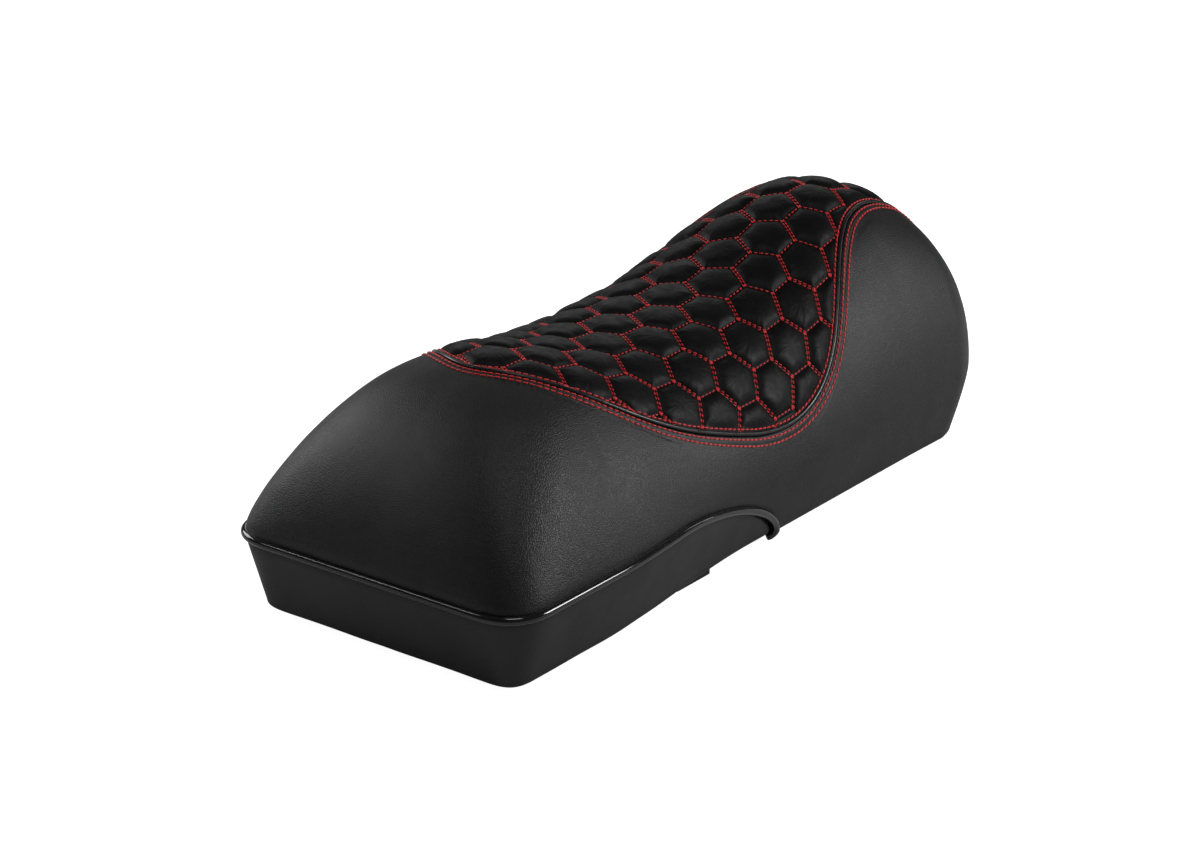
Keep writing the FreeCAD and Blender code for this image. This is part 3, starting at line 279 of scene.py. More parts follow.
def plainMesh(piece):
    # modifiers and node trees become a plain mesh
    graph = bpy.context.evaluated_depsgraph_get()
    mesh = bpy.data.meshes.new_from_object(piece.evaluated_get(graph))
    piece.modifiers.clear()
    old = piece.data
    piece.data = mesh
    bpy.data.meshes.remove(old)


def coverFrom(name, grid, wall, slot, solid):
    # half a grid of points, mirrored, becomes a cover with a wall under its outer face
    whole = mirrored(grid)
    piece = pieceFrom(name, whole.reshape(-1, 3), gridFaces(*whole.shape[:2]))
    if sum(face.normal.dot(face.center - Vector(core)) for face in piece.data.polygons) < 0:
        piece.data.flip_normals()
    modifier = piece.modifiers.new("wall", "SOLIDIFY")
    modifier.thickness = wall
    modifier.offset = -1
    modifier.use_even_offset = False
    plainMesh(piece)
    return seatPiece(piece, slot, solid)


def tubeAlong(name, points, normals, shape, slot, solid):
    # a round tube with closed ends along half a line, mirrored
    run = runLength(points)
    places = np.linspace(0, run[-1], int(run[-1] / shape["spacing"]))
    points, normals = (mirrored(resample(line, places, run)) for line in (points, normals))
    waverScale = 120
    waver = np.array([noise.noise(Vector(p) * waverScale) for p in points])
    radii = shape["radius"] * (1 + shape["waver"] * waver)
    way = unit(np.gradient(points, axis=0))
    out = unit(normals - way * np.sum(normals * way, axis=1, keepdims=True))
    count, sides = len(points), shape["sides"]
    angles = np.linspace(0, 2 * np.pi, sides, endpoint=False)[:, None]
    ring = out[:, None] * np.cos(angles) + np.cross(way, out)[:, None] * np.sin(angles)
    rings = points[:, None] + ring * radii[:, None, None]
    faces = gridFaces(count, sides, closed=True)
    for c in range(sides):
        n = (c + 1) % sides
        faces.append((c, count * sides, n))
        faces.append(((count - 1) * sides + n, count * sides + 1, (count - 1) * sides + c))
    piece = pieceFrom(name, np.concatenate([rings.reshape(-1, 3), points[[0, -1]]]).tolist(), faces)
    sortNormals(piece)
    return seatPiece(piece, slot, solid)


def sortNormals(piece):
    work = bmesh.new()
    work.from_mesh(piece.data)
    bmesh.ops.recalc_face_normals(work, faces=work.faces)
    work.to_mesh(piece.data)
    work.free()


# Materials
noiseSpan = (0.3, 0.7)       # where most of a noise field's values lie


def newMaterial(name, values=()):
    # values: constant sockets of the shader
    material = bpy.data.materials.new(name)
    material.use_nodes = True
    tree = material.node_tree
    for socket, value in dict(values).items():
        tree.nodes["Principled BSDF"].inputs[socket].default_value = value
    return material, tree


def node(tree, kind, sockets=(), **values):
    made = tree.nodes.new(kind)
    for key, value in values.items():
        setattr(made, key, value)
    for socket, value in dict(sockets).items():
        made.inputs[socket].default_value = value
    return made


def linked(tree, *rows):
    # rows: node, its output, the next node, its input
    for source, output, target, socket in rows:
        tree.links.new(source.outputs[output], target.inputs[socket])


def objectPlace(tree, scale=(1, 1, 1)):
    mapping = node(tree, "ShaderNodeMapping", {"Scale": scale})
    linked(tree, (node(tree, "ShaderNodeTexCoord"), "Object", mapping, "Vector"))
    return mapping.outputs["Vector"]


def noiseField(tree, place, scale, detail):
    field = node(tree, "ShaderNodeTexNoise", {"Scale": scale, "Detail": detail, "Roughness": 0.55})
    tree.links.new(place, field.inputs["Vector"])
    return field.outputs["Fac"]


def cellField(tree, place, scale, feature="F1"):
    field = node(tree, "ShaderNodeTexVoronoi", feature=feature)
    field.inputs["Scale"].default_value = scale
    tree.links.new(place, field.inputs["Vector"])
    return field.outputs["Distance"]


def ramp(tree, value, span, start, end):
    made = node(tree, "ShaderNodeMapRange",
                {"From Min": span[0], "From Max": span[1], "To Min": start, "To Max": end})
    tree.links.new(value, made.inputs["Value"])
    return made.outputs["Result"]


def layered(tree, *layers):
    # sum of fields, each with its weight
    total = None
    for field, weight in layers:
        part = node(tree, "ShaderNodeMath", {1: weight}, operation="MULTIPLY")
        tree.links.new(field, part.inputs[0])
        if total:
            both = node(tree, "ShaderNodeMath", operation="ADD")
            linked(tree, (total, 0, both, 0), (part, 0, both, 1))
            part = both
        total = part
    return total.outputs["Value"]


def varyColour(tree, field, first, second):
    mix = node(tree, "ShaderNodeMix", data_type="RGBA")
    mix.inputs["A"].default_value = (*first, 1)
    mix.inputs["B"].default_value = (*second, 1)
    tree.links.new(field, mix.inputs["Factor"])
    linked(tree, (mix, "Result", tree.nodes["Principled BSDF"], "Base Color"))


def varyRoughness(tree, field, low, high):
    rough = tree.nodes["Principled BSDF"].inputs["Roughness"]
    tree.links.new(ramp(tree, field, noiseSpan, low, high), rough)


def addBump(tree, height, strength, distance):
    bump = node(tree, "ShaderNodeBump", {"Strength": strength, "Distance": distance})
    tree.links.new(height, bump.inputs["Height"])
    linked(tree, (bump, "Normal", tree.nodes["Principled BSDF"], "Normal"))


def newFinish(name, values=()):
    material, tree = newMaterial(name, values)
    return material, tree, objectPlace(tree)


def leatherette():
    material, tree, place = newFinish("leatherette")
    warp = noiseField(tree, place, 90, 2)
    creases = ramp(tree, cellField(tree, place, 520, "DISTANCE_TO_EDGE"), (0.0, 0.22), 0.0, 1.0)
    pebble = noiseField(tree, place, 900, 2)
    patches = noiseField(tree, place, 14, 4)
    addBump(tree, layered(tree, (creases, 0.75), (pebble, 0.3), (warp, 0.5)), 0.45, 0.0004)
    varyRoughness(tree, patches, 0.42, 0.52)
    varyColour(tree, patches, (0.0045, 0.0045, 0.0048), (0.008, 0.008, 0.0083))
    return material


def quiltSuede():
    material, tree, place = newFinish("quiltSuede", {"Specular IOR Level": 0.15})
    nap = noiseField(tree, place, 1500, 2)
    soft = noiseField(tree, place, 130, 4)
    folds = noiseField(tree, place, 60, 3)
    addBump(tree, layered(tree, (nap, 0.25), (soft, 0.9), (folds, 1.2)), 0.35, 0.0008)
    varyRoughness(tree, soft, 0.42, 0.56)
    varyColour(tree, folds, (0.0022, 0.0022, 0.0022), (0.0045, 0.0045, 0.0045))
    return material


def skirtVinyl():
    material, tree, place = newFinish("skirtVinyl")
    grain = noiseField(tree, place, 700, 3)
    waves = noiseField(tree, place, 22, 2)
    addBump(tree, layered(tree, (grain, 0.2), (waves, 1.0)), 0.12, 0.0006)
    varyRoughness(tree, waves, 0.38, 0.48)
    varyColour(tree, waves, (0.005, 0.005, 0.0052), (0.008, 0.008, 0.0082))
    return material


def glossTrim():
    material, tree, place = newFinish("glossTrim", {
        "Base Color": (0.008, 0.008, 0.0085, 1),
        "Coat Weight": 0.4,
        "Coat Roughness": 0.1,
    })
    waves = noiseField(tree, place, 45, 2)
    addBump(tree, waves, 0.08, 0.0005)
    varyRoughness(tree, waves, 0.07, 0.14)
    return material


def edgeTrim():
    material, tree, place = newFinish("edgeTrim", {"Base Color": (0.010, 0.010, 0.0105, 1)})
    grain = noiseField(tree, place, 800, 2)
    waves = noiseField(tree, place, 70, 2)
    addBump(tree, layered(tree, (grain, 0.3), (waves, 1.0)), 0.2, 0.0004)
    varyRoughness(tree, waves, 0.24, 0.36)
    return material


def redThread():
    material, tree, place = newFinish("redThread", {"Roughness": 0.5, "Sheen Weight": 0.3})
    twist = noiseField(tree, place, 1600, 2)
    addBump(tree, twist, 0.4, 0.0002)
    varyColour(tree, twist, (0.80, 0.006, 0.010), (1.0, 0.016, 0.020))
    return material


def mouldedPlastic():
    material, tree, place = newFinish("mouldedPlastic")
    flow = noiseField(tree, place, 18, 3)
    addBump(tree, cellField(tree, place, 1100), 0.15, 0.0002)
    varyRoughness(tree, flow, 0.42, 0.58)
    varyColour(tree, flow, (0.019, 0.019, 0.020), (0.027, 0.027, 0.028))
    return material


def coatedSteel():
    material, tree, place = newFinish("coatedSteel")
    wear = noiseField(tree, place, 60, 5)
    addBump(tree, noiseField(tree, place, 500, 3), 0.15, 0.0002)
    varyRoughness(tree, wear, 0.33, 0.5)
    varyColour(tree, ramp(tree, wear, (0.62, 0.75), 0, 1), (0.018, 0.018, 0.019), (0.05, 0.05, 0.05))
    return material


def zincSteel():
    material, tree, place = newFinish("zincSteel", {"Metallic": 1.0})
    brush = noiseField(tree, objectPlace(tree, (1, 8, 1)), 400, 3)
    addBump(tree, brush, 0.08, 0.0001)
    varyRoughness(tree, brush, 0.26, 0.42)
    varyColour(tree, cellField(tree, place, 300), (0.47, 0.47, 0.45), (0.62, 0.62, 0.6))
    return material


def blackRubber():
    material, tree, place = newFinish("blackRubber")
    dust = noiseField(tree, place, 120, 4)
    addBump(tree, dust, 0.2, 0.0003)
    varyRoughness(tree, dust, 0.6, 0.78)
    varyColour(tree, dust, (0.011, 0.011, 0.011), (0.022, 0.022, 0.021))
    return material


def creamFoam():
    material, tree, place = newFinish("creamFoam", {"Roughness": 0.9})
    addBump(tree, cellField(tree, place, 900), 0.6, 0.0006)
    varyColour(tree, noiseField(tree, place, 30, 3), (0.62, 0.54, 0.38), (0.74, 0.67, 0.5))
    return material


finishes = {
    "leatherette": leatherette(),
    "suede": quiltSuede(),
    "skirt_vinyl": skirtVinyl(),
    "gloss_trim": glossTrim(),
    "edge_trim": edgeTrim(),
    "foam": creamFoam(),
    "pan_plastic": mouldedPlastic(),
    "hinge_steel": coatedSteel(),
    "zinc_steel": zincSteel(),
    "rubber": blackRubber(),
}
thread = redThread()


def paint(piece, slot):
    piece.data.materials.clear()
    piece.data.materials.append(finishes[slot])


for part in frame["record"]["subparts"]:
    paint(frame["nodes"][part["node"]], part["material_slot"])
print("materials:", len(finishes) + 1)


def seatPiece(piece, slot, solid):
    # solid: the node that the piece stands for
    paint(piece, slot)
    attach(piece, "seat")
    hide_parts(solid)
    return piece


# Plan outline of the form, half of it, from the middle of the nose to the back
rim = {"samples": 900, "flatSteps": 20, "cornerSteps": 60, "sideSteps": 200,
       "backHalf": seam["tailHalf"] + seam["groove"], "leastStep": 1e-6}


def rimLine():
    half, backHalf = form["halfLength"], rim["backHalf"]
    corner, tailCorner = form["frontCorner"], form["tailCorner"]
    startX, tailX = half - corner, tailCorner - half
    flat = float(sideHalf(startX)) - corner
    tailFlat = float(sideHalf(tailX)) - tailCorner
    angles = np.linspace(0, np.pi / 2, rim["cornerSteps"])
    front = np.stack([np.full(rim["flatSteps"], half), np.linspace(0, flat, rim["flatSteps"])], -1)
    bend = 2 / form["frontPower"]
    turn = np.stack([startX + corner * np.cos(angles) ** bend, flat + corner * np.sin(angles) ** bend], -1)
    xs = np.linspace(startX, tailX, rim["sideSteps"])
    bend = 2 / form["tailPower"]
    rear = np.stack([tailX - tailCorner * np.sin(angles) ** bend,
                     tailFlat + tailCorner * np.abs(np.cos(angles)) ** bend], -1)
    backX = np.interp(-backHalf, -rear[:, 1], rear[:, 0])
    line = np.concatenate([front, turn, np.stack([xs, sideHalf(xs)], -1), rear[rear[:, 1] > backHalf],
                           [[backX, backHalf]]])
    steps = np.linalg.norm(np.diff(line, axis=0), axis=1)
    return evenly(line[np.concatenate([[True], steps > rim["leastStep"]])], rim["samples"])


def inwardOf(outline):
    way = unit(np.gradient(outline, axis=0))
    inward = np.stack([-way[:, 1], way[:, 0]], -1)
    inward[np.sum(inward * outline, axis=1) > 0] *= -1
    inward[0] = (-1, 0)
    return inward


# Wrap cover: lines from the seam over the flank to the lower edge
wrap = {
    "lines": 290,
    "rows": 46,
    "edgeRows": 24,
    "hemRows": 14,
    "sideStations": (0.240, -0.190),     # between these the lines run straight across
    "endPairs": 60,
    "sidePairs": 200,
    "topSteps": 220,
    "wallSteps": 50,
    "gather": 2.4,           # steps grow closer towards the rim
    "edgeReach": 0.0150,     # closely spaced rows beside the seam
    "wall": 0.0030,
    "rollDepth": 0.0022,
    "rollReach": 0.0013,
    "rollPower": 1.5,
    "rowPlaces": (0.0031, 0.0079),   # top stitch rows from the cover's edge
    "rowDepth": 0.0004,
    "rowWidth": 0.0009,
    "sag": ((0.0005, 16), (0.0002, 45)),     # slight unevenness: height and scale
    "tailSpread": 0.050,     # the wall's draft fades out towards the panel at the back
    "hemRoll": 0.004,
    "rollSteps": 8,
    "lipSteps": 14,
    "hemSkew": 0.2,          # the hem turns straight in along the side and slantwise at the tail
    "hemTurnX": -0.22,
    "hemTurn": 0.12,
    "lipReach": 0.030,
    "stapleRow": -6,
    "tuckLift": -0.0005,     # lower edge behind the welt
    "tuckDepth": 0.0030,
    "tuckReach": 0.0055,
    "tuckFade": 0.015,
    "tuckStep": 0.0004,
    "tuckFall": 0.3,
}
hemLines = []                # paths of the staples


def matched(plan, outline):
    # pairs of places on the seam and on the outline, by station along the side and by length at the ends
    seamRun = runLength(plan)
    rimRun = runLength(outline)

    def placesAt(stations):
        return np.stack([np.interp(-stations, -plan[:, 0], seamRun),
                         np.interp(-stations, -outline[:, 0], rimRun)], -1)

    first, last = placesAt(np.array(wrap["sideStations"]))
    ends = np.array([seamRun[-1], rimRun[-1]])
    steps = np.linspace(0, 1, wrap["endPairs"])[:, None]
    side = placesAt(np.linspace(*wrap["sideStations"], wrap["sidePairs"]))
    pairs = np.concatenate([first * steps, side[1:-1], last + (ends - last) * steps])
    even = evenly(pairs, wrap["lines"])
    return resample(plan, even[:, 0], seamRun), resample(outline, even[:, 1], rimRun)


def hemFrom(base):
    # the wall's foot rolls in and runs on as a flat lip
    skew, roll = wrap["hemSkew"], wrap["hemRoll"]
    inward = unit(-base[:2])
    inward = unit(inward * (skew + (1 - skew) * ease((wrap["hemTurnX"] - base[0]) / wrap["hemTurn"]), 1.0))
    turn = np.linspace(0, np.pi / 2, wrap["rollSteps"])
    lip = np.linspace(roll, wrap["lipReach"], wrap["lipSteps"])[1:]
    reach = np.concatenate([roll * (1 - np.cos(turn)), lip])
    drop = np.concatenate([roll * np.sin(turn), np.full(len(lip), roll)])
    return np.column_stack([base[:2] + inward * reach[:, None], base[2] - drop])


def wrapLines():
    starts, ends = matched(seamPlan(seam["groove"]), rimLine())
    share = 1 - (1 - np.linspace(0, 1, wrap["topSteps"])) ** wrap["gather"]
    for start, end in zip(starts, ends):
        flat = start + (end - start) * share[:, None]
        top = np.column_stack([flat, coverHeight(flat[:, 0], flat[:, 1])])
        z = np.linspace(top[-1, 2], form["hem"] + wrap["hemRoll"], wrap["wallSteps"])[1:]
        spread = ease((end[1] - rim["backHalf"]) / wrap["tailSpread"]) if end[0] < 0 else 1.0
        wall = np.column_stack([np.full(len(z), end[0]), end[1] - wallTuck(z) * spread, z])
        yield np.concatenate([top, wall]), hemFrom(wall[-1])


def wrapGrid():
    rows, hems, edges = [], [], []
    near = np.linspace(0, wrap["edgeReach"], wrap["edgeRows"], endpoint=False)
    for line, hem in wrapLines():
        run = runLength(line)
        limit = skirtLine(line[:, 0], wrap["tuckLift"], wrap["tuckLift"])
        limit[line[:, 0] < skirtEdge["end"] - wrap["tuckLift"]] = -1
        below = np.nonzero(line[:, 2] < limit)[0]
        total = run[-1]
        if len(below):
            k = max(below[0], 1)
            over = line[k - 1, 2] - limit[k - 1]
            under = limit[k] - line[k, 2]
            total = run[k - 1] + (run[k] - run[k - 1]) * over / max(over + under, 1e-9)
        reach = np.concatenate([near, np.linspace(wrap["edgeReach"], total, wrap["rows"])])
        rows.append(resample(line, reach, run))
        hems.append(evenly(hem, wrap["hemRows"] + 1)[1:])
        edges.append((len(below) > 0, reach))
    return np.array(rows), np.array(hems), edges


def wrapCover():
    grid, hems, edges = wrapGrid()
    normals = outward(grid)
    inward = inwardOf(grid[:, -1, :2])
    steps = np.arange(1, wrap["hemRows"] + 1)[:, None] * wrap["tuckStep"]
    for line, hem, normal, inn, (front, reach) in zip(grid, hems, normals, inward, edges):
        lift = -wrap["rollDepth"] * np.exp(-(reach / wrap["rollReach"]) ** wrap["rollPower"])
        for place in wrap["rowPlaces"]:
            lift -= wrap["rowDepth"] * np.exp(-((reach - place) / wrap["rowWidth"]) ** 2)
        for row in range(wrap["edgeRows"], len(line)):
            lift[row] += sum(height * noise.noise(Vector(line[row]) * scale) for height, scale in wrap["sag"])
        line += normal * lift[:, None]
        if front:
            depth = wrap["tuckDepth"] * min((line[-1, 2] - form["hem"]) / wrap["tuckFade"], 1.0)
            line[:, :2] += inn * (depth * np.exp(-((reach[-1] - reach) / wrap["tuckReach"]) ** 2))[:, None]
            hem[:] = line[-1] + np.column_stack([inn * steps, -wrap["tuckFall"] * steps])
    hemLine = np.array([hem[wrap["stapleRow"]] for hem, (front, reach) in zip(hems, edges) if not front])
    hemLines.extend([hemLine, hemLine * mirror])
    grid = np.concatenate([grid, hems], axis=1)
    return coverFrom("wrapCover", grid, wrap["wall"], "leatherette", "wrap_cover")


wrapPiece = wrapCover()
print("wrap cover:", len(wrapPiece.data.polygons), "faces")

# Front skirt: outline inset by its draft, rolled over at the hem
skirtShape = {
    "lines": 170,
    "rows": 26,
    "hemSteps": 8,
    "endGap": 0.006,
    "topLift": -0.0010,      # upper edge behind the welt
    "topReach": -0.0020,
    "topInset": 0.0006,
    "tuck": 0.0022,
    "tuckReach": 0.0045,
    "leastHeight": 0.0005,
    "wall": 0.0025,
    "roll": 0.005,
    "lipReach": 0.016,
    "cornerReach": 0.115,
    "sag": (0.0004, 20),
    "stapleRow": -4,
}


def hemAcrossCorner(lips, inward):
    # the hem's free edge cuts across the front corner, where the cover is drawn over the pan's round
    edge = lips[:, -1, :2]
    run = runLength(edge)
    middle = run[np.argmax(np.abs(inward[:, 0] * inward[:, 1]))]
    reach = skirtShape["cornerReach"]
    first, corner, last = resample(edge, np.array([middle - reach, middle, middle + reach]), run)
    near = np.abs(run - middle) < reach
    t = ((run[near] - middle + reach) / (2 * reach))[:, None]
    across = first * (1 - t) ** 2 + corner * 2 * t * (1 - t) + last * t ** 2 - edge[near]
    lips[near, :, :2] += across[:, None, :] * np.linspace(0, 1, lips.shape[1])[None, :, None]


def skirtCover():
    outline = rimLine()
    outline = evenly(outline[outline[:, 0] > skirtEdge["end"] + skirtShape["endGap"]], skirtShape["lines"])
    inward = inwardOf(outline)
    roll, steps = skirtShape["roll"], skirtShape["hemSteps"]
    foot = form["hem"] + roll
    slope = (form["draft"] - skirtShape["topInset"]) / (skirtEdge["top"] - foot)
    turn = np.linspace(0, np.pi / 2, steps + 1)[1:]
    lip = np.linspace(0, skirtShape["lipReach"] - roll, steps)[1:]
    tops = skirtLine(outline[:, 0], skirtShape["topLift"], skirtShape["topReach"])
    grid = []
    for place, inn, top in zip(outline, inward, tops):
        z = np.linspace(max(top, foot + skirtShape["leastHeight"]), foot, skirtShape["rows"])
        inset = skirtShape["topInset"] + (skirtEdge["top"] - z) * slope
        inset = inset + skirtShape["tuck"] * np.exp(-((z[0] - z) / skirtShape["tuckReach"]) ** 2)
        hem = inset[-1] + roll * (1 - np.cos(turn))
        reach = np.concatenate([inset, hem, hem[-1] + lip])
        height = np.concatenate([z, foot - roll * np.sin(turn), np.full(len(lip), form["hem"])])
        grid.append(np.column_stack([place + inn * reach[:, None], height]))
    grid = np.array(grid)
    hemAcrossCorner(grid[:, -steps:], inward)
    normals = outward(grid)
    height, scale = skirtShape["sag"]
    for index in np.ndindex(grid.shape[:2]):
        grid[index] += normals[index] * height * noise.noise(Vector(grid[index]) * scale)
    hemLines.append(mirrored(grid[:, skirtShape["stapleRow"]]))
    return coverFrom("skirtCover", grid, skirtShape["wall"], "skirt_vinyl", "skirt")


skirtPiece = skirtCover()
print("skirt:", len(skirtPiece.data.polygons), "faces")

# Glossy welt: round the nose, along the side and down the skirt's edge, curled under at its ends
weltShape = {
    "radius": 0.0038,
    "waver": 0.0,
    "sunk": 0.0018,
    "lift": 0.9,             # share of the sinking lost on the way down
    "sides": 16,
    "spacing": 0.0025,
    "startGap": 0.001,
    "fallSteps": 120,
    "gather": 2.6,
    "curl": 0.0055,
    "curlIn": 0.003,
    "curlTurn": (0.15, 1.6, 14),
}


def skirtWelt():
    fallStart = skirtEdge["end"] + skirtEdge["fall"]
    outline = rimLine()
    outline = outline[outline[:, 0] > fallStart + weltShape["startGap"]]
    share = 1 - (1 - np.linspace(0, 1, weltShape["fallSteps"])) ** weltShape["gather"]
    xs = fallStart - skirtEdge["fall"] * share
    outline = np.concatenate([outline, np.stack([xs, sideHalf(xs)], -1)])
    level = np.maximum(skirtLine(outline[:, 0], 0.0, 0.0), form["hem"])
    out = -inwardOf(outline)
    tuck = wallTuck(level) + weltShape["sunk"] * (1 - weltShape["lift"] * wallDrop(level))
    keep = level > form["hem"] + weltShape["curl"] / 2
    points = np.column_stack([outline - out * tuck[:, None], level])[keep]
    normals = np.column_stack([out, np.zeros(len(out))])[keep]
    turn = np.linspace(*weltShape["curlTurn"])
    curl = np.stack([weltShape["curl"] * (1 - np.cos(turn)), -weltShape["curlIn"] * turn,
                     -weltShape["curl"] * np.sin(turn)], -1)
    points = np.concatenate([points, points[-1] + curl])
    normals = np.concatenate([normals, np.tile(normals[-1], (len(turn), 1))])
    tubeAlong("skirtWelt", points, normals, weltShape, "gloss_trim", "skirt_welt")


# Rolled bead in the seam round the panel
beadShape = {"radius": 0.0019, "waver": 0.05, "sunk": 0.0010, "sides": 12, "spacing": 0.0030}

skirtWelt()
tubeAlong("seamBead", *seamLine(0.0, beadShape["sunk"]), beadShape, "edge_trim", "seam_bead")
print("welt and bead done")

# Quilted panel: honeycomb laid out flat, carried onto the form, puffed between the stitch lines
quilt = {
    "pitch": 0.046,
    "rowX": -0.097,          # a row of cells crosses the middle line here
    "valley": -0.0025,
    "puff": 0.0026,
    "edge": -0.0008,         # along the border seam
    "under": -0.006,
    "edgeStep": 0.0019,
    "leastEdge": 0.002,
    "borderStep": 0.006,
    "borderGap": 0.003,      # the border's plan ends this far before the back
    "lineStep": 0.001,
    "tailBend": 0.02,        # closer steps of the middle line at the tail
    "bendSteps": 60,
    "tailBlend": 0.040,
    "backGap": 0.0008,       # places nearer than this to the back's plane lie on it
    "rings": (0.98, 0.95, 0.915, 0.87, 0.81, 0.73, 0.62, 0.48, 0.32, 0.16),
    "flat": 0.0011,          # flat strip under the thread, each side
    "edgeFlat": 0.0034,      # and along the border
    "shoulder": 0.0050,      # how far the pillow takes to rise
    "risePower": 1.15,
    "cornerRound": 3,        # power that rounds the pillow where stitch lines meet
    "levelBlend": 0.0003,
    "pucker": 0.0007,
    "puckerScale": (230, 120),       # along the stitch line, and away from it
    "puckerStart": 0.0012,
    "puckerReach": 0.0060,
    "swell": 0.0006,
    "swellScale": 50,
    "swellStart": 0.006,
    "smallCell": 1.5,        # a cut cell fills to its share of a whole one times this
}
acrossGrid = {
    "stations": 260,
    "ahead": 0.006,         # in front of the seam's tip
    "places": 240,
    "half": 0.136,
    "inside": 0.999,         # share of the plan that is on the form
    "reaches": 400,
    "reach": 0.20,
}


def panelMiddle():
    # middle line of the panel in side view, with its run
    back = -form["halfLength"]
    bend = back + quilt["tailBend"]
    xs = np.concatenate([np.arange(seam["front"], bend, -quilt["lineStep"]),
                         np.linspace(bend, back + form["endGap"], quilt["bendSteps"])])
    line = np.stack([xs, crownHeight(xs)], -1)
    drop = np.arange(line[-1, 1] - seam["backStep"], seam["foot"], -seam["backStep"])
    rear = np.stack([np.full(len(drop), back), drop], -1)
    line = np.concatenate([line, rear, [[back, seam["foot"]]]])
    return line, runLength(line)


panelLine, panelRun = panelMiddle()
acrossX = np.linspace(-form["halfLength"] + form["endGap"], seam["front"] + acrossGrid["ahead"],
                      acrossGrid["stations"])
acrossReaches = np.linspace(0, acrossGrid["reach"], acrossGrid["reaches"])


def acrossTable():
    # sideways place for each run over the section, station by station
    places = np.linspace(0, acrossGrid["half"], acrossGrid["places"])
    rows = []
    for x in acrossX:
        inside = np.minimum(places, planHalf(np.array(x)) * acrossGrid["inside"])
        height = coverHeight(np.full(len(places), x), inside)
        run = np.concatenate([[0], np.cumsum(np.hypot(np.diff(places), np.diff(height)))])
        rows.append(np.interp(acrossReaches, run, places))
    return np.array(rows)


acrossSideways = acrossTable()


def between(value, keys):
    # index and share of a value among even keys
    place = np.clip((value - keys[0]) / (keys[-1] - keys[0]) * (len(keys) - 1), 0, len(keys) - 1.001)
    return place.astype(int), place - place.astype(int)


def sideways(x, reach):
    # over the section on top of the seat, straight across on its back
    row, rowShare = between(x, acrossX)
    column, share = between(reach, acrossReaches)
    low, high = (acrossSideways[r, column] * (1 - share) + acrossSideways[r, column + 1] * share
                 for r in (row, row + 1))
    tail = ease(1 - (x + form["halfLength"]) / quilt["tailBlend"])
    return (low * (1 - rowShare) + high * rowShare) * (1 - tail) + reach * tail


def reachOf(x, y):
    # the run over the section that ends at y, by halving
    low = y
    high = 2 * y + 0.001
    for _ in range(30):
        middle = (low + high) / 2
        short = sideways(x, middle) < y
        low = np.where(short, middle, low)
        high = np.where(short, high, middle)
    return (low + high) / 2


def carried(flat, lift):
    # flat places on the panel carried onto the form, lifted along the normal
    x = np.interp(flat[:, 0], panelRun, panelLine[:, 0])
    z = np.interp(flat[:, 0], panelRun, panelLine[:, 1])
    limit = quilt["backGap"] - form["halfLength"]
    rear = x <= limit
    y = np.sign(flat[:, 1]) * sideways(x, np.abs(flat[:, 1]))
    xs = np.maximum(x, limit)
    points = np.stack([x, y, np.where(rear, z, coverHeight(xs, y))], -1)
    normals = np.where(rear[:, None], np.array([-1.0, 0.0, 0.0]), coverNormal(xs, y))
    return points + normals * np.reshape(lift, (-1, 1)), normals


def panelBorder():
    plan = seamPlan(-seam["groove"])
    plan = plan[plan[:, 0] > quilt["borderGap"] - form["halfLength"]]
    x, y = plan[:, 0], plan[:, 1]
    half = np.stack([np.interp(-x, -panelLine[:, 0], panelRun), reachOf(x, y)], -1)
    half = evenly(half, int(runLength(half)[-1] / quilt["borderStep"]))
    half = np.concatenate([half, [[panelRun[-1], half[-1, 1]]]])
    return [tuple(p) for p in half] + [(d, -r) for d, r in half[::-1] if r > 1e-6]


def pairsOf(ring):
    return zip(ring, ring[1:] + ring[:1])


foundCorners = []


def settled(point):
    for corner in foundCorners:
        if math.hypot(corner[0] - point[0], corner[1] - point[1]) < quilt["leastEdge"]:
            return corner
    foundCorners.append(point)
    return point


def cellPiece(border, centre):
    # the part of the panel inside one honeycomb cell
    piece = list(border)
    for side in range(6):
        nx = math.sin(math.radians(60 * side))
        ny = math.cos(math.radians(60 * side))
        depths = [(p[0] - centre[0]) * nx + (p[1] - centre[1]) * ny - quilt["pitch"] / 2 for p in piece]
        kept = []
        for (point, after), (depth, nextDepth) in zip(pairsOf(piece), pairsOf(depths)):
            if depth <= 0:
                kept.append(point)
            if (depth <= 0) != (nextDepth <= 0):
                share = depth / (depth - nextDepth)
                kept.append(tuple(p + share * (q - p) for p, q in zip(point, after)))
        piece = kept
        if len(piece) < 3:
            return []
    corners = list(dict.fromkeys(settled(point) for point in piece))
    return corners if len(corners) > 2 else []


def middleOf(polygon):
    area = mx = my = 0.0
    for (ax, ay), (bx, by) in pairsOf(polygon):
        part = ax * by - bx * ay
        area += part / 2
        mx += (ax + bx) * part / 6
        my += (ay + by) * part / 6
    return (mx / area, my / area), abs(area)


def quiltCells():
    border = panelBorder()
    rowGap = quilt["pitch"] * math.sqrt(3) / 2
    firstRow = float(np.interp(-quilt["rowX"], -panelLine[:, 0], panelRun)) % (2 * rowGap)
    cells = []
    # more rows and places than the panel takes: the rest fall away
    for row in range(-2, int(panelRun[-1] / rowGap) + 3):
        for place in range(-4, 5):
            centre = (firstRow + row * rowGap, (place + 0.5 * (row % 2)) * quilt["pitch"])
            cells.append(cellPiece(border, centre))
    return [polygon for polygon in cells if polygon]


def edgesOf(polygon):
    return [(a, b) if a < b else (b, a) for a, b in pairsOf(polygon)]


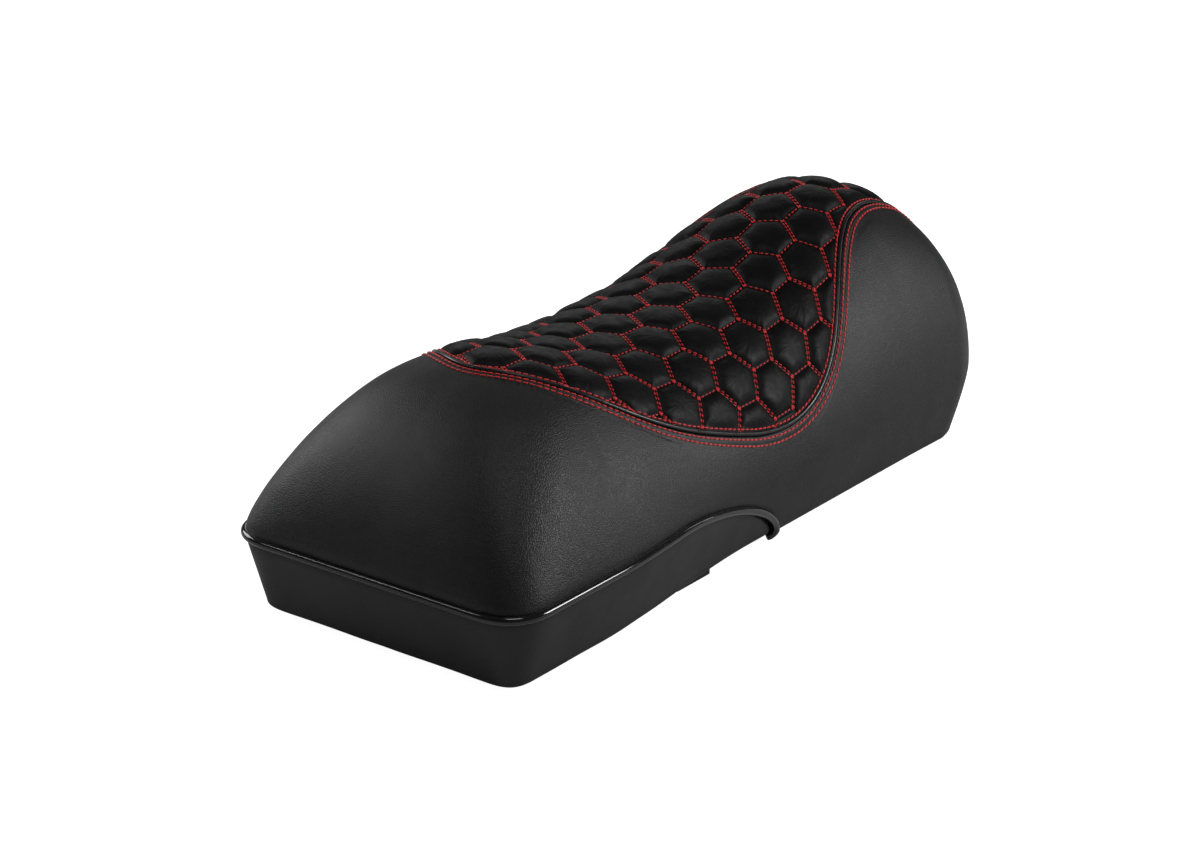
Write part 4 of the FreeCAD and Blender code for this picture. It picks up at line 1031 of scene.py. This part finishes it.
def splitEdges(polygon):
    # corners with even steps between them, the same from either side
    points = []
    for a, (first, second) in zip(polygon, edgesOf(polygon)):
        count = max(int(round(math.dist(first, second) / quilt["edgeStep"])), 1)
        steps = [tuple(p + (q - p) * k / count for p, q in zip(first, second)) for k in range(count + 1)]
        points += steps[:-1] if first == a else steps[:0:-1]
    return points


def pillowLifts(polygon, places, anchors, fullness):
    # lift of places in a cell from their distances to its stitch lines; anchors are their edge points
    places = np.asarray(places)
    sides = {}
    for edge in edgesOf(polygon):
        a, b = np.array(edge)
        share = np.clip((places - a) @ (b - a) / ((b - a) @ (b - a)), 0, 1)
        away = np.linalg.norm(places - a - share[:, None] * (b - a), axis=1)
        side, strip = ("border", "edgeFlat") if edgeCells[edge] < 2 else (edge, "flat")
        away = np.maximum(away - quilt[strip], 0) + 1e-5
        sides[side] = np.minimum(sides.get(side, away), away)
    distances = np.array(list(sides.values()))
    levels = np.array([quilt["edge" if side == "border" else "valley"] for side in sides])
    near = np.sum(distances ** -quilt["cornerRound"], axis=0) ** (-1 / quilt["cornerRound"])
    weights = (distances + quilt["levelBlend"]) ** -2
    base = np.sum(weights * levels[:, None], axis=0) / np.sum(weights, axis=0)
    rise = 1 - np.exp(-(near / quilt["shoulder"]) ** quilt["risePower"])
    along, off = quilt["puckerScale"]
    folds = []
    for place, anchor, far in zip(places * quilt["swellScale"], anchors, near):
        pucker = noise.noise(Vector((anchor[0] * along, anchor[1] * along, far * off)))
        swell = noise.noise(Vector((*place, 3.0)))
        fade = min(far / quilt["puckerStart"], 1.0) * math.exp(-far / quilt["puckerReach"])
        grown = min(far / quilt["swellStart"], 1.0)
        folds.append(quilt["pucker"] * pucker * fade + quilt["swell"] * swell * grown)
    return base + (quilt["puff"] * fullness - base) * rise + np.array(folds) * fullness


def quiltedTop(cells):
    wholeCell = quilt["pitch"] ** 2 * math.sqrt(3) / 2
    flat, lifts, faces = [], [], []
    shared = {}
    directed = {}            # outer edges in each cell's own direction

    def corner(point, level):
        key = (round(point[0], 6), round(point[1], 6), level)
        if key not in shared:
            shared[key] = len(flat)
            flat.append(point)
            lifts.append(quilt[level])
        return shared[key]

    for polygon in cells:
        middle, area = middleOf(polygon)
        ring = splitEdges(polygon)
        count = len(ring)
        outer = [corner(p, "valley") for p in ring]
        under = [corner(p, "under") for p in ring]
        directed.update(dict.fromkeys(pairsOf(outer)))
        places = [tuple(m + (v - m) * share for v, m in zip(p, middle))
                  for share in quilt["rings"] for p in ring] + [middle]
        anchors = ring * len(quilt["rings"]) + [middle]
        fullness = min(area / wholeCell * quilt["smallCell"], 1.0)
        first = len(flat)
        flat += places + [middle]
        lifts += [*pillowLifts(polygon, places, anchors, fullness), quilt["under"]]
        top, low = len(flat) - 2, len(flat) - 1
        last = outer
        for start in range(first, top, count):
            row = list(range(start, start + count))
            faces += [(a, b, d, c) for (a, b), (c, d) in zip(pairsOf(last), pairsOf(row))]
            last = row
        for (a, b), (c, d) in zip(pairsOf(last), pairsOf(under)):
            faces += [(a, b, top), (d, c, low)]
    names = {index: key for key, index in shared.items()}
    for a, b in directed:
        if (b, a) not in directed:
            lifts[a] = lifts[b] = quilt["edge"]
            faces.append((b, a, *(shared[(*names[k][:2], "under")] for k in (a, b))))
    piece = pieceFrom("quiltedTop", carried(np.array(flat), lifts)[0], faces)
    sortNormals(piece)
    seatPiece(piece, "suede", "quilted_top")
    return piece


cells = quiltCells()
edgeCells = {}               # how many cells meet at each edge
for polygon in cells:
    for edge in edgesOf(polygon):
        edgeCells[edge] = edgeCells.get(edge, 0) + 1
quiltPiece = quiltedTop(cells)
print("quilted panel:", len(cells), "cells,", len(quiltPiece.data.polygons), "faces")

# Red thread and hem staples: rows of short pieces on paths laid over the covers
stitch = {"pitch": 0.0043, "length": 0.0031, "width": 0.0011, "height": 0.0012, "slant": 0.10}
seamStitch = {"pitch": 0.0058, "length": 0.0046, "width": 0.0014, "height": 0.0014, "slant": 0.10}
staple = {"pitch": 0.024, "length": 0.010, "width": 0.0012, "height": 0.0007, "slant": 0.0}
threadRow = {
    "span": (0.02, 0.98),    # share of a cell's edge that is sewn
    "step": 0.0025,
    "shortest": 0.006,
    "doubleAngles": (60, 120),       # edges sewn with two rows, those of the second angle on one side only
    "angleSpread": 12,
    "doubleSide": 0.055,
    "apart": 0.0012,
    "lift": 0.0004,
    "doubleLift": 0.0007,
    "panelRow": 0.0021,      # row along the panel's edge, from the groove
    "footGap": 0.004,
    "proud": 0.0003,
    "stapleDrop": 0.0002,
}


def stitchTree():
    tree = bpy.data.node_groups.new("stitchRow", "GeometryNodeTree")
    inputs = [("Geometry", "Geometry"), *((name, "Float") for name in stitch), ("finish", "Material")]
    for name, kind in inputs:
        tree.interface.new_socket(name, in_out="INPUT", socket_type="NodeSocket" + kind)
    tree.interface.new_socket("Geometry", in_out="OUTPUT", socket_type="NodeSocketGeometry")
    start = node(tree, "NodeGroupInput")
    end = node(tree, "NodeGroupOutput")
    curve = node(tree, "GeometryNodeMeshToCurve")
    even = node(tree, "GeometryNodeResampleCurve", mode="LENGTH")
    bead = node(tree, "GeometryNodeMeshUVSphere", {"Segments": 8, "Rings": 5, "Radius": 0.5})
    sizes = node(tree, "ShaderNodeCombineXYZ")
    shape = node(tree, "GeometryNodeTransform", {"Rotation": (0, 0, math.pi / 8)})
    where = node(tree, "GeometryNodeInputPosition")
    parts = node(tree, "ShaderNodeSeparateXYZ")
    endSign = node(tree, "ShaderNodeMath", operation="SIGN")
    spare = node(tree, "ShaderNodeMath", operation="SUBTRACT")
    half = node(tree, "ShaderNodeMath", {1: 0.5}, operation="MULTIPLY")
    push = node(tree, "ShaderNodeMath", operation="MULTIPLY")
    offset = node(tree, "ShaderNodeCombineXYZ")
    capsule = node(tree, "GeometryNodeSetPosition")
    lean = node(tree, "ShaderNodeCombineXYZ")
    leanTurn = node(tree, "FunctionNodeEulerToRotation")
    leaning = node(tree, "FunctionNodeRotateRotation", rotation_space="LOCAL")
    place = node(tree, "GeometryNodeInstanceOnPoints")
    tangent = node(tree, "GeometryNodeInputTangent")
    normal = node(tree, "GeometryNodeInputNamedAttribute", {"Name": "surfaceNormal"},
                  data_type="FLOAT_VECTOR")
    turn = node(tree, "FunctionNodeAxesToRotation", primary_axis="Z", secondary_axis="X")
    real = node(tree, "GeometryNodeRealizeInstances")
    smooth = node(tree, "GeometryNodeSetShadeSmooth")
    colour = node(tree, "GeometryNodeSetMaterial")
    linked(
        tree,
        (start, "Geometry", curve, "Mesh"),
        (curve, "Curve", even, "Curve"),
        (start, "pitch", even, "Length"),
        (start, "width", sizes, "X"),
        (start, "width", sizes, "Y"),
        (start, "height", sizes, "Z"),
        (bead, "Mesh", shape, "Geometry"),
        (sizes, "Vector", shape, "Scale"),
        (where, "Position", parts, "Vector"),
        (parts, "X", endSign, 0),
        (start, "length", spare, 0),
        (start, "width", spare, 1),
        (spare, "Value", half, 0),
        (endSign, "Value", push, 0),
        (half, "Value", push, 1),
        (push, "Value", offset, "X"),
        (shape, "Geometry", capsule, "Geometry"),
        (offset, "Vector", capsule, "Offset"),
        (start, "slant", lean, "Z"),
        (lean, "Vector", leanTurn, "Euler"),
        (even, "Curve", place, "Points"),
        (capsule, "Geometry", place, "Instance"),
        (normal, "Attribute", turn, "Primary Axis"),
        (tangent, "Tangent", turn, "Secondary Axis"),
        (turn, "Rotation", leaning, "Rotation"),
        (leanTurn, "Rotation", leaning, "Rotate By"),
        (leaning, "Rotation", place, "Rotation"),
        (place, "Instances", real, "Geometry"),
        (real, "Geometry", smooth, "Geometry"),
        (smooth, "Geometry", colour, "Geometry"),
        (start, "finish", colour, "Material"),
        (colour, "Geometry", end, "Geometry"),
    )
    return tree


stitchNodes = stitchTree()


def stitchRows(name, rows, sizes, finish):
    # rows: points with the surface normal at each
    vertices, normals, edges = [], [], []
    for points, outs in rows:
        edges += [(len(vertices) + k, len(vertices) + k + 1) for k in range(len(points) - 1)]
        vertices += [tuple(p) for p in points]
        normals += [tuple(n) for n in outs]
    mesh = bpy.data.meshes.new(name)
    mesh.from_pydata(vertices, edges, [])
    attribute = mesh.attributes.new("surfaceNormal", "FLOAT_VECTOR", "POINT")
    attribute.data.foreach_set("vector", np.array(normals, np.float32).ravel())
    piece = placed(name, mesh)
    modifier = piece.modifiers.new("stitches", "NODES")
    modifier.node_group = stitchNodes
    values = {**sizes, "finish": finish}
    for item in stitchNodes.interface.items_tree:
        if item.in_out == "INPUT" and item.name in values:
            modifier[item.identifier] = values[item.name]
    plainMesh(piece)
    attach(piece, "seat")
    return piece


def edgeRow(a, b, aside, lift):
    # one row of thread beside the straight line from a to b on the flat panel
    way = np.array([b[0] - a[0], b[1] - a[1]])
    length = np.linalg.norm(way)
    side = np.array([-way[1], way[0]]) / length
    steps = np.linspace(*threadRow["span"], max(int(length / threadRow["step"]), 3))
    return carried(np.array(a) + way * steps[:, None] + side * aside, lift)


def quiltStitches():
    rows = []
    apart = threadRow["apart"]
    for (a, b), uses in edgeCells.items():
        if math.dist(a, b) < threadRow["shortest"] or uses < 2:
            continue
        angle = math.degrees(math.atan2(b[1] - a[1], a[0] - b[0])) % 180
        always, oneSide = (abs(angle - way) < threadRow["angleSpread"] for way in threadRow["doubleAngles"])
        double = always or (oneSide and min(a[1], b[1]) > threadRow["doubleSide"])
        lift = quilt["valley"] + threadRow["doubleLift" if double else "lift"]
        rows += [edgeRow(a, b, aside, lift) for aside in ((-apart, apart) if double else (0.0,))]
    return stitchRows("quiltStitches", rows, stitch, thread)


def laidOn(piece, points):
    # half a row of points moved onto the piece's surface and mirrored, with the normals there
    laid, normals = [], []
    for point in points[points[:, 2] > seam["foot"] + threadRow["footGap"]]:
        _, place, normal, _ = piece.closest_point_on_mesh(Vector(point))
        laid.append(place + normal * threadRow["proud"])
        normals.append(normal)
    return mirrored(np.array(laid)), mirrored(np.array(normals))


def seamStitches():
    rows = [laidOn(quiltPiece, seamLine(-seam["groove"] - threadRow["panelRow"], 0.0)[0])]
    rows += [laidOn(wrapPiece, seamLine(seam["groove"] + place, 0.0)[0]) for place in wrap["rowPlaces"]]
    return stitchRows("seamStitches", rows, seamStitch, thread)


def hemStaples():
    drop = np.array([0, 0, threadRow["stapleDrop"]])
    rows = [(line - drop, np.tile([0.0, 0.0, -1.0], (len(line), 1))) for line in hemLines]
    return stitchRows("hemStaples", rows, staple, finishes["zinc_steel"])


sewn = [quiltStitches(), seamStitches(), hemStaples()]
print("thread and staples:", sum(len(piece.data.polygons) for piece in sewn), "faces")

# Studio: pale floor, white surroundings and soft lamps
studio = {
    "floor": (0.8, 0.8, 0.8, 1),
    "floorSize": 14,
    "floorZ": -0.0004,
    "floorGlow": 0.97,       # for the camera only, so that the floor fades into the surroundings
    "world": 0.06,
    "lamps": {               # place, target, size and power
        "leftLamp": ((0.35, -2.0, 1.0), (0.2, 0, 0.12), (1.1, 0.9), 15),
        "leftStrip": ((1.34, -1.23, 1.61), (0.3, 0, 0.07), (0.06, 1.0), 2.4),
        "rightLamp": ((-1.15, 1.6, 0.95), (0, 0, 0.12), (0.6, 0.7), 21),
        "rightStrip": ((-1.95, 0.85, 0.78), (0.1, 0.1, 0.07), (0.06, 0.9), 1.2),
        "backLamp": ((-1.7, -1.3, 1.0), (0, 0, 0.15), (1.6, 0.8), 4),
        "topLamp": ((0.5, 0.6, 2.3), (0, 0, 0.1), (0.9, 0.9), 8),
    },
}


def studioFloor():
    bpy.ops.mesh.primitive_plane_add(size=studio["floorSize"], location=(0, 0, studio["floorZ"]))
    floor = bpy.context.object
    floor.name = "studioFloor"
    material, tree = newMaterial("studioFloor", {"Base Color": studio["floor"], "Roughness": 0.9})
    glow = node(tree, "ShaderNodeEmission", {"Color": (1, 1, 1, 1)})
    path = node(tree, "ShaderNodeLightPath")
    both = node(tree, "ShaderNodeAddShader")
    strength = node(tree, "ShaderNodeMath", {1: studio["floorGlow"]}, operation="MULTIPLY")
    linked(
        tree,
        (path, "Is Camera Ray", strength, 0),
        (strength, "Value", glow, "Strength"),
        (tree.nodes["Principled BSDF"], "BSDF", both, 0),
        (glow, "Emission", both, 1),
        (both, "Shader", tree.nodes["Material Output"], "Surface"),
    )
    floor.data.materials.append(material)


def studioWorld():
    world = bpy.data.worlds.new("studioWorld")
    scene.world = world
    world.use_nodes = True
    tree = world.node_tree
    back = tree.nodes["Background"]
    back.inputs["Color"].default_value = (1, 1, 1, 1)
    path = node(tree, "ShaderNodeLightPath")
    seen = node(tree, "ShaderNodeMath", operation="MAXIMUM")
    strength = node(tree, "ShaderNodeMapRange", {"To Min": studio["world"], "To Max": 1.0})
    linked(
        tree,
        (path, "Is Camera Ray", seen, 0),
        (path, "Is Transmission Ray", seen, 1),
        (seen, "Value", strength, "Value"),
        (strength, "Result", back, "Strength"),
    )


def softLamp(name, place, target, size, power):
    lamp = bpy.data.lights.new(name, "AREA")
    lamp.shape = "RECTANGLE"
    lamp.size, lamp.size_y = size
    lamp.energy = power
    holder = placed(name, lamp)
    holder.location = place
    holder.rotation_euler = (Vector(target) - Vector(place)).to_track_quat("-Z", "Y").to_euler()


studioFloor()
studioWorld()
for name, setting in studio["lamps"].items():
    softLamp(name, *setting)

# Camera at the photograph's angle
view = {
    "azimuth": 127.48,
    "elevation": 22.155,
    "distance": 2.8696,
    "target": (0.0781, 0.0027, 0.1056),
    "focalPixels": 3385,
    "imageWidth": 1200,
}


def photoCamera():
    camera = bpy.data.cameras.new("photoCamera")
    camera.sensor_width = 36
    camera.lens = view["focalPixels"] * camera.sensor_width / view["imageWidth"]
    camera.clip_end = 30
    azimuth = math.radians(view["azimuth"])
    elevation = math.radians(view["elevation"])
    level = math.cos(elevation)
    away = Vector((math.sin(azimuth) * level, -math.cos(azimuth) * level, math.sin(elevation)))
    scene.camera = placed("photoCamera", camera)
    scene.camera.location = Vector(view["target"]) + away * view["distance"]
    scene.camera.rotation_euler = (-away).to_track_quat("-Z", "Y").to_euler()


photoCamera()
scene.view_settings.view_transform = "Standard"
print("studio and camera ready")
